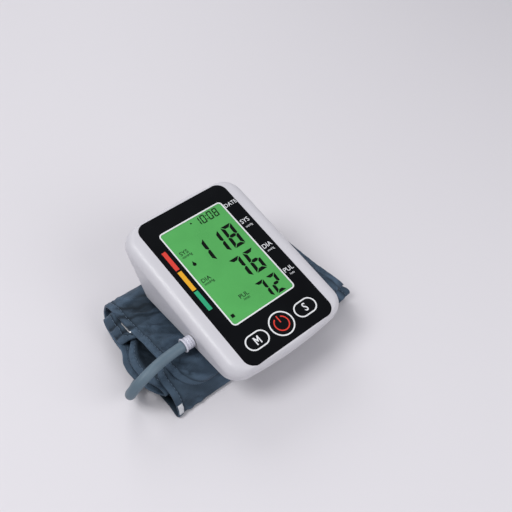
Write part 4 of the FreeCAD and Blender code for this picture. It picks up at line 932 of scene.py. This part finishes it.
# Stitches in millimetres, and a stitch's rings: how far along it, how wide and how high
STITCH_PITCH, STITCH_LENGTH, THREAD_RADIUS, THREAD_LIFT = 3.1, 2.2, 0.2, 0.08
SPINDLE = ((0.0, 0.45, -0.12), (0.18, 1.0, 0.05), (0.5, 1.1, 0.12), (0.82, 1.0, 0.05),
           (1.0, 0.45, -0.12))
THREAD_SIDES = 6
# Where every second point is further away than this, the line has a gap that isn't stitched
STITCH_GAP = 8 * MM
# The rows without stitches at the band's start and end, and the height that stitches lie above
BARE_START, BARE_END = 3, 12
STITCH_LOW = 0.6 * MM


def spindle_faces():
    """The faces of one stitch: its rings' sides and its two ends."""
    count = len(SPINDLE) * THREAD_SIDES
    sides = [list(range(THREAD_SIDES)), list(range(count - 1, count - THREAD_SIDES - 1, -1))]
    for ring in range(0, count - THREAD_SIDES, THREAD_SIDES):
        for k in range(THREAD_SIDES):
            after = (k + 1) % THREAD_SIDES
            sides.append([ring + k, ring + THREAD_SIDES + k, ring + THREAD_SIDES + after,
                          ring + after])
    return sides


def stitch_line(points):
    """Thread stitches along a line on the cloth, each a small spindle pulled in at its ends."""
    reach = [0.0]
    for (here, _), (ahead, _) in zip(points, points[1:]):
        reach.append(reach[-1] + (ahead - here).length / MM)
    groups = []
    spot = 0
    start = 1.0
    while start + STITCH_LENGTH < reach[-1]:
        verts = []
        for share, size, height in SPINDLE:
            distance = start + share * STITCH_LENGTH
            while reach[spot + 1] < distance:
                spot += 1
            t = (distance - reach[spot]) / (reach[spot + 1] - reach[spot])
            here, ahead = points[spot], points[spot + 1]
            run = (ahead[0] - here[0]).normalized()
            side = run.cross(here[1].lerp(ahead[1], t)).normalized()
            top = side.cross(run).normalized()
            middle = here[0].lerp(ahead[0], t) + top * ((THREAD_LIFT + height) * MM)
            for k in range(THREAD_SIDES):
                angle = 2 * math.pi * k / THREAD_SIDES
                verts.append(middle + (side * math.cos(angle) + top * math.sin(angle))
                             * (THREAD_RADIUS * size * MM))
        if (points[spot][0] - points[max(spot - 2, 0)][0]).length < STITCH_GAP:
            groups.append((verts, spindle_faces()))
        start += STITCH_PITCH
        while spot > 0 and reach[spot] > start:
            spot -= 1
    return groups


def make_stitches(grid):
    """Stitching along both long hems of the band, on both its faces."""
    groups = []
    seam = EDGE_STEPS.index(HEM)
    for column in (seam, COLUMNS - 1 - seam):
        for face, other in ((grid["outer"], grid["inner"]), (grid["inner"], grid["outer"])):
            points = []
            for r in range(BARE_START, len(grid["rows"]) - BARE_END):
                place = face[r * COLUMNS + column]
                if place.z > STITCH_LOW:
                    points.append((place, (place - other[r * COLUMNS + column]).normalized()))
            groups.extend(stitch_line(points))
    return add_piece("cuff_stitches", joined("cuff_stitches", groups), LOOKS["thread"])


# The tag in millimetres: how far from the hem's edge its points lie, how far its two faces stand
# over the cloth, and the y and z between which its rows lie
TAG_COLUMNS = (0.5, 0.9, 1.8, 2.8, 3.7, 4.1)
TAG_LIFTS = (0.06, 0.42)
TAG_Y, TAG_LOW, TAG_HIGH = -36.2, 3.4, 9.8


def make_tag(grid):
    """A short bare tape sewn over the hem near the front corner."""
    down = [index for index, row in enumerate(grid["rows"])
            if row[0] < TAG_Y and TAG_LOW < row[1] < TAG_HIGH]
    across = [EDGE_STEPS.index(step) for step in TAG_COLUMNS]
    verts = []
    for lift in TAG_LIFTS:
        for spot in [r * COLUMNS + c for r in down for c in across]:
            out = (grid["outer"][spot] - grid["inner"][spot]).normalized()
            verts.append(grid["outer"][spot] + out * (lift * MM))
    mesh = mended(mesh_from("cuff_bare_tag", verts, sheet_faces(len(down), len(across))))
    tag = add_piece("cuff_bare_tag", mesh, LOOKS["cuff_tag"])
    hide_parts("cuff_tag")
    return tag


band_piece, band_grid = make_band()
band_stitches = make_stitches(band_grid)
band_tag = make_tag(band_grid)

# The air bag: its rounded corner and welded rim in millimetres, and its points
BAG_CORNER = 7.0
BAG_WELD = (2.2, 7.0)
BAG_ACROSS, BAG_DOWN = 60, 26


def make_bladder():
    """The flat air bag inside the inner turn, welded round its rim and nearly empty."""
    low, high = corners("cuff_bladder")
    low, high = low / MM, high / MM
    middle, half = (low.z + high.z) / 2, (high.z - low.z) / 2
    verts = []
    for face in (1, -1):
        for r in range(BAG_DOWN + 1):
            for c in range(BAG_ACROSS + 1):
                u, v = c / BAG_ACROSS, r / BAG_DOWN
                x, y = low.x + (high.x - low.x) * u, low.y + (high.y - low.y) * v
                from_x, from_y = min(x - low.x, high.x - x), min(y - low.y, high.y - y)
                from_edge = min(from_x, from_y)
                if from_x < BAG_CORNER and from_y < BAG_CORNER:
                    reach = math.hypot(BAG_CORNER - from_x, BAG_CORNER - from_y)
                    from_edge = max(0.0, BAG_CORNER - reach)
                    pull = max(0.0, 1 - BAG_CORNER / reach)
                    x += (BAG_CORNER - from_x) * pull * (1 if u < 0.5 else -1)
                    y += (BAG_CORNER - from_y) * pull * (1 if v < 0.5 else -1)
                weld = 0.18 + 0.82 * smoothstep(*BAG_WELD, from_edge)
                if r in (0, BAG_DOWN) or c in (0, BAG_ACROSS):
                    weld = 0.0
                ripple = 1 + 0.12 * noise.noise(Vector((x * 0.09, y * 0.09, 4.1)))
                verts.append(Vector((x, y, middle + face * half * min(1.0, weld * ripple))) * MM)
    mesh = mesh_from("cuff_air_bag", verts, sheet_faces(BAG_DOWN + 1, BAG_ACROSS + 1))
    mended(mesh, weld=0.005 * MM)
    bag = add_piece("cuff_air_bag", mesh, LOOKS["cuff_bladder"])
    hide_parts("cuff_bladder")
    return bag


make_bladder()


# ---------------------------------------------------------------- stage, light and camera

FLOOR_REACH = 4.0
FLOOR_COLOUR = (0.68, 0.66, 0.69, 1)
FLOOR_ROUGH = 0.85
WORLD_COLOUR = (0.93, 0.94, 1.0, 1)
WORLD_STRENGTH = 0.42
LIT_PLACE = (0, 0, 0.03)
# Each light's name, place, size and power
LIGHTS = (("key_light", (-0.55, 0.10, 0.9), 0.5, 5.3),
          ("fill_light", (0.25, -0.9, 0.6), 0.8, 4.6),
          ("rim_light", (0.3, 0.8, 0.7), 0.7, 3.0))
# The photograph's camera: lens, sensor and near limit, its place in millimetres, and the ways
# that its right side and its back face
LENS, SENSOR, NEAR = 52.04, 36.0, 0.01
CAMERA_PLACE = (-200.5, -265.04, 419.15)
CAMERA_RIGHT, CAMERA_BACK = (0.7586, -0.6515, 0.0), (-0.4484, -0.5221, 0.7255)


def area_light(name, place, size, power):
    data = bpy.data.lights.new(name, "AREA")
    data.shape = "DISK"
    data.size = size
    data.energy = power
    lamp = bpy.data.objects.new(name, data)
    bpy.context.scene.collection.objects.link(lamp)
    lamp.location = place
    direction = Vector(LIT_PLACE) - Vector(place)
    lamp.rotation_euler = direction.to_track_quat("-Z", "Y").to_euler()


def make_stage():
    """The pale floor, the even surroundings and three soft lights."""
    ways = ((-1, -1), (1, -1), (1, 1), (-1, 1))
    places = [(x * FLOOR_REACH, y * FLOOR_REACH, 0) for x, y in ways]
    floor = bpy.data.objects.new("floor", mesh_from("floor", places, [[0, 1, 2, 3]]))
    bpy.context.scene.collection.objects.link(floor)
    material, _, shader = new_material("floor_paper")
    shader.inputs["Base Color"].default_value = FLOOR_COLOUR
    shader.inputs["Roughness"].default_value = FLOOR_ROUGH
    floor.data.materials.append(material)
    world = bpy.data.worlds.new("studio")
    bpy.context.scene.world = world
    world.use_nodes = True
    back = world.node_tree.nodes["Background"]
    back.inputs["Color"].default_value = WORLD_COLOUR
    back.inputs["Strength"].default_value = WORLD_STRENGTH
    for light in LIGHTS:
        area_light(*light)


def make_camera():
    """The camera that was solved from the photograph."""
    data = bpy.data.cameras.new("camera")
    data.lens = LENS
    data.sensor_width = SENSOR
    data.clip_start = NEAR
    camera = bpy.data.objects.new("camera", data)
    bpy.context.scene.collection.objects.link(camera)
    back = Vector(CAMERA_BACK).normalized()
    up = back.cross(Vector(CAMERA_RIGHT).normalized()).normalized()
    right = up.cross(back)
    place = Vector(CAMERA_PLACE) * MM
    turned = Matrix((right, up, back)).transposed().to_4x4()
    camera.matrix_world = Matrix.Translation(place) @ turned
    bpy.context.scene.camera = camera


make_stage()
make_camera()
bpy.context.scene.view_settings.view_transform = "Standard"
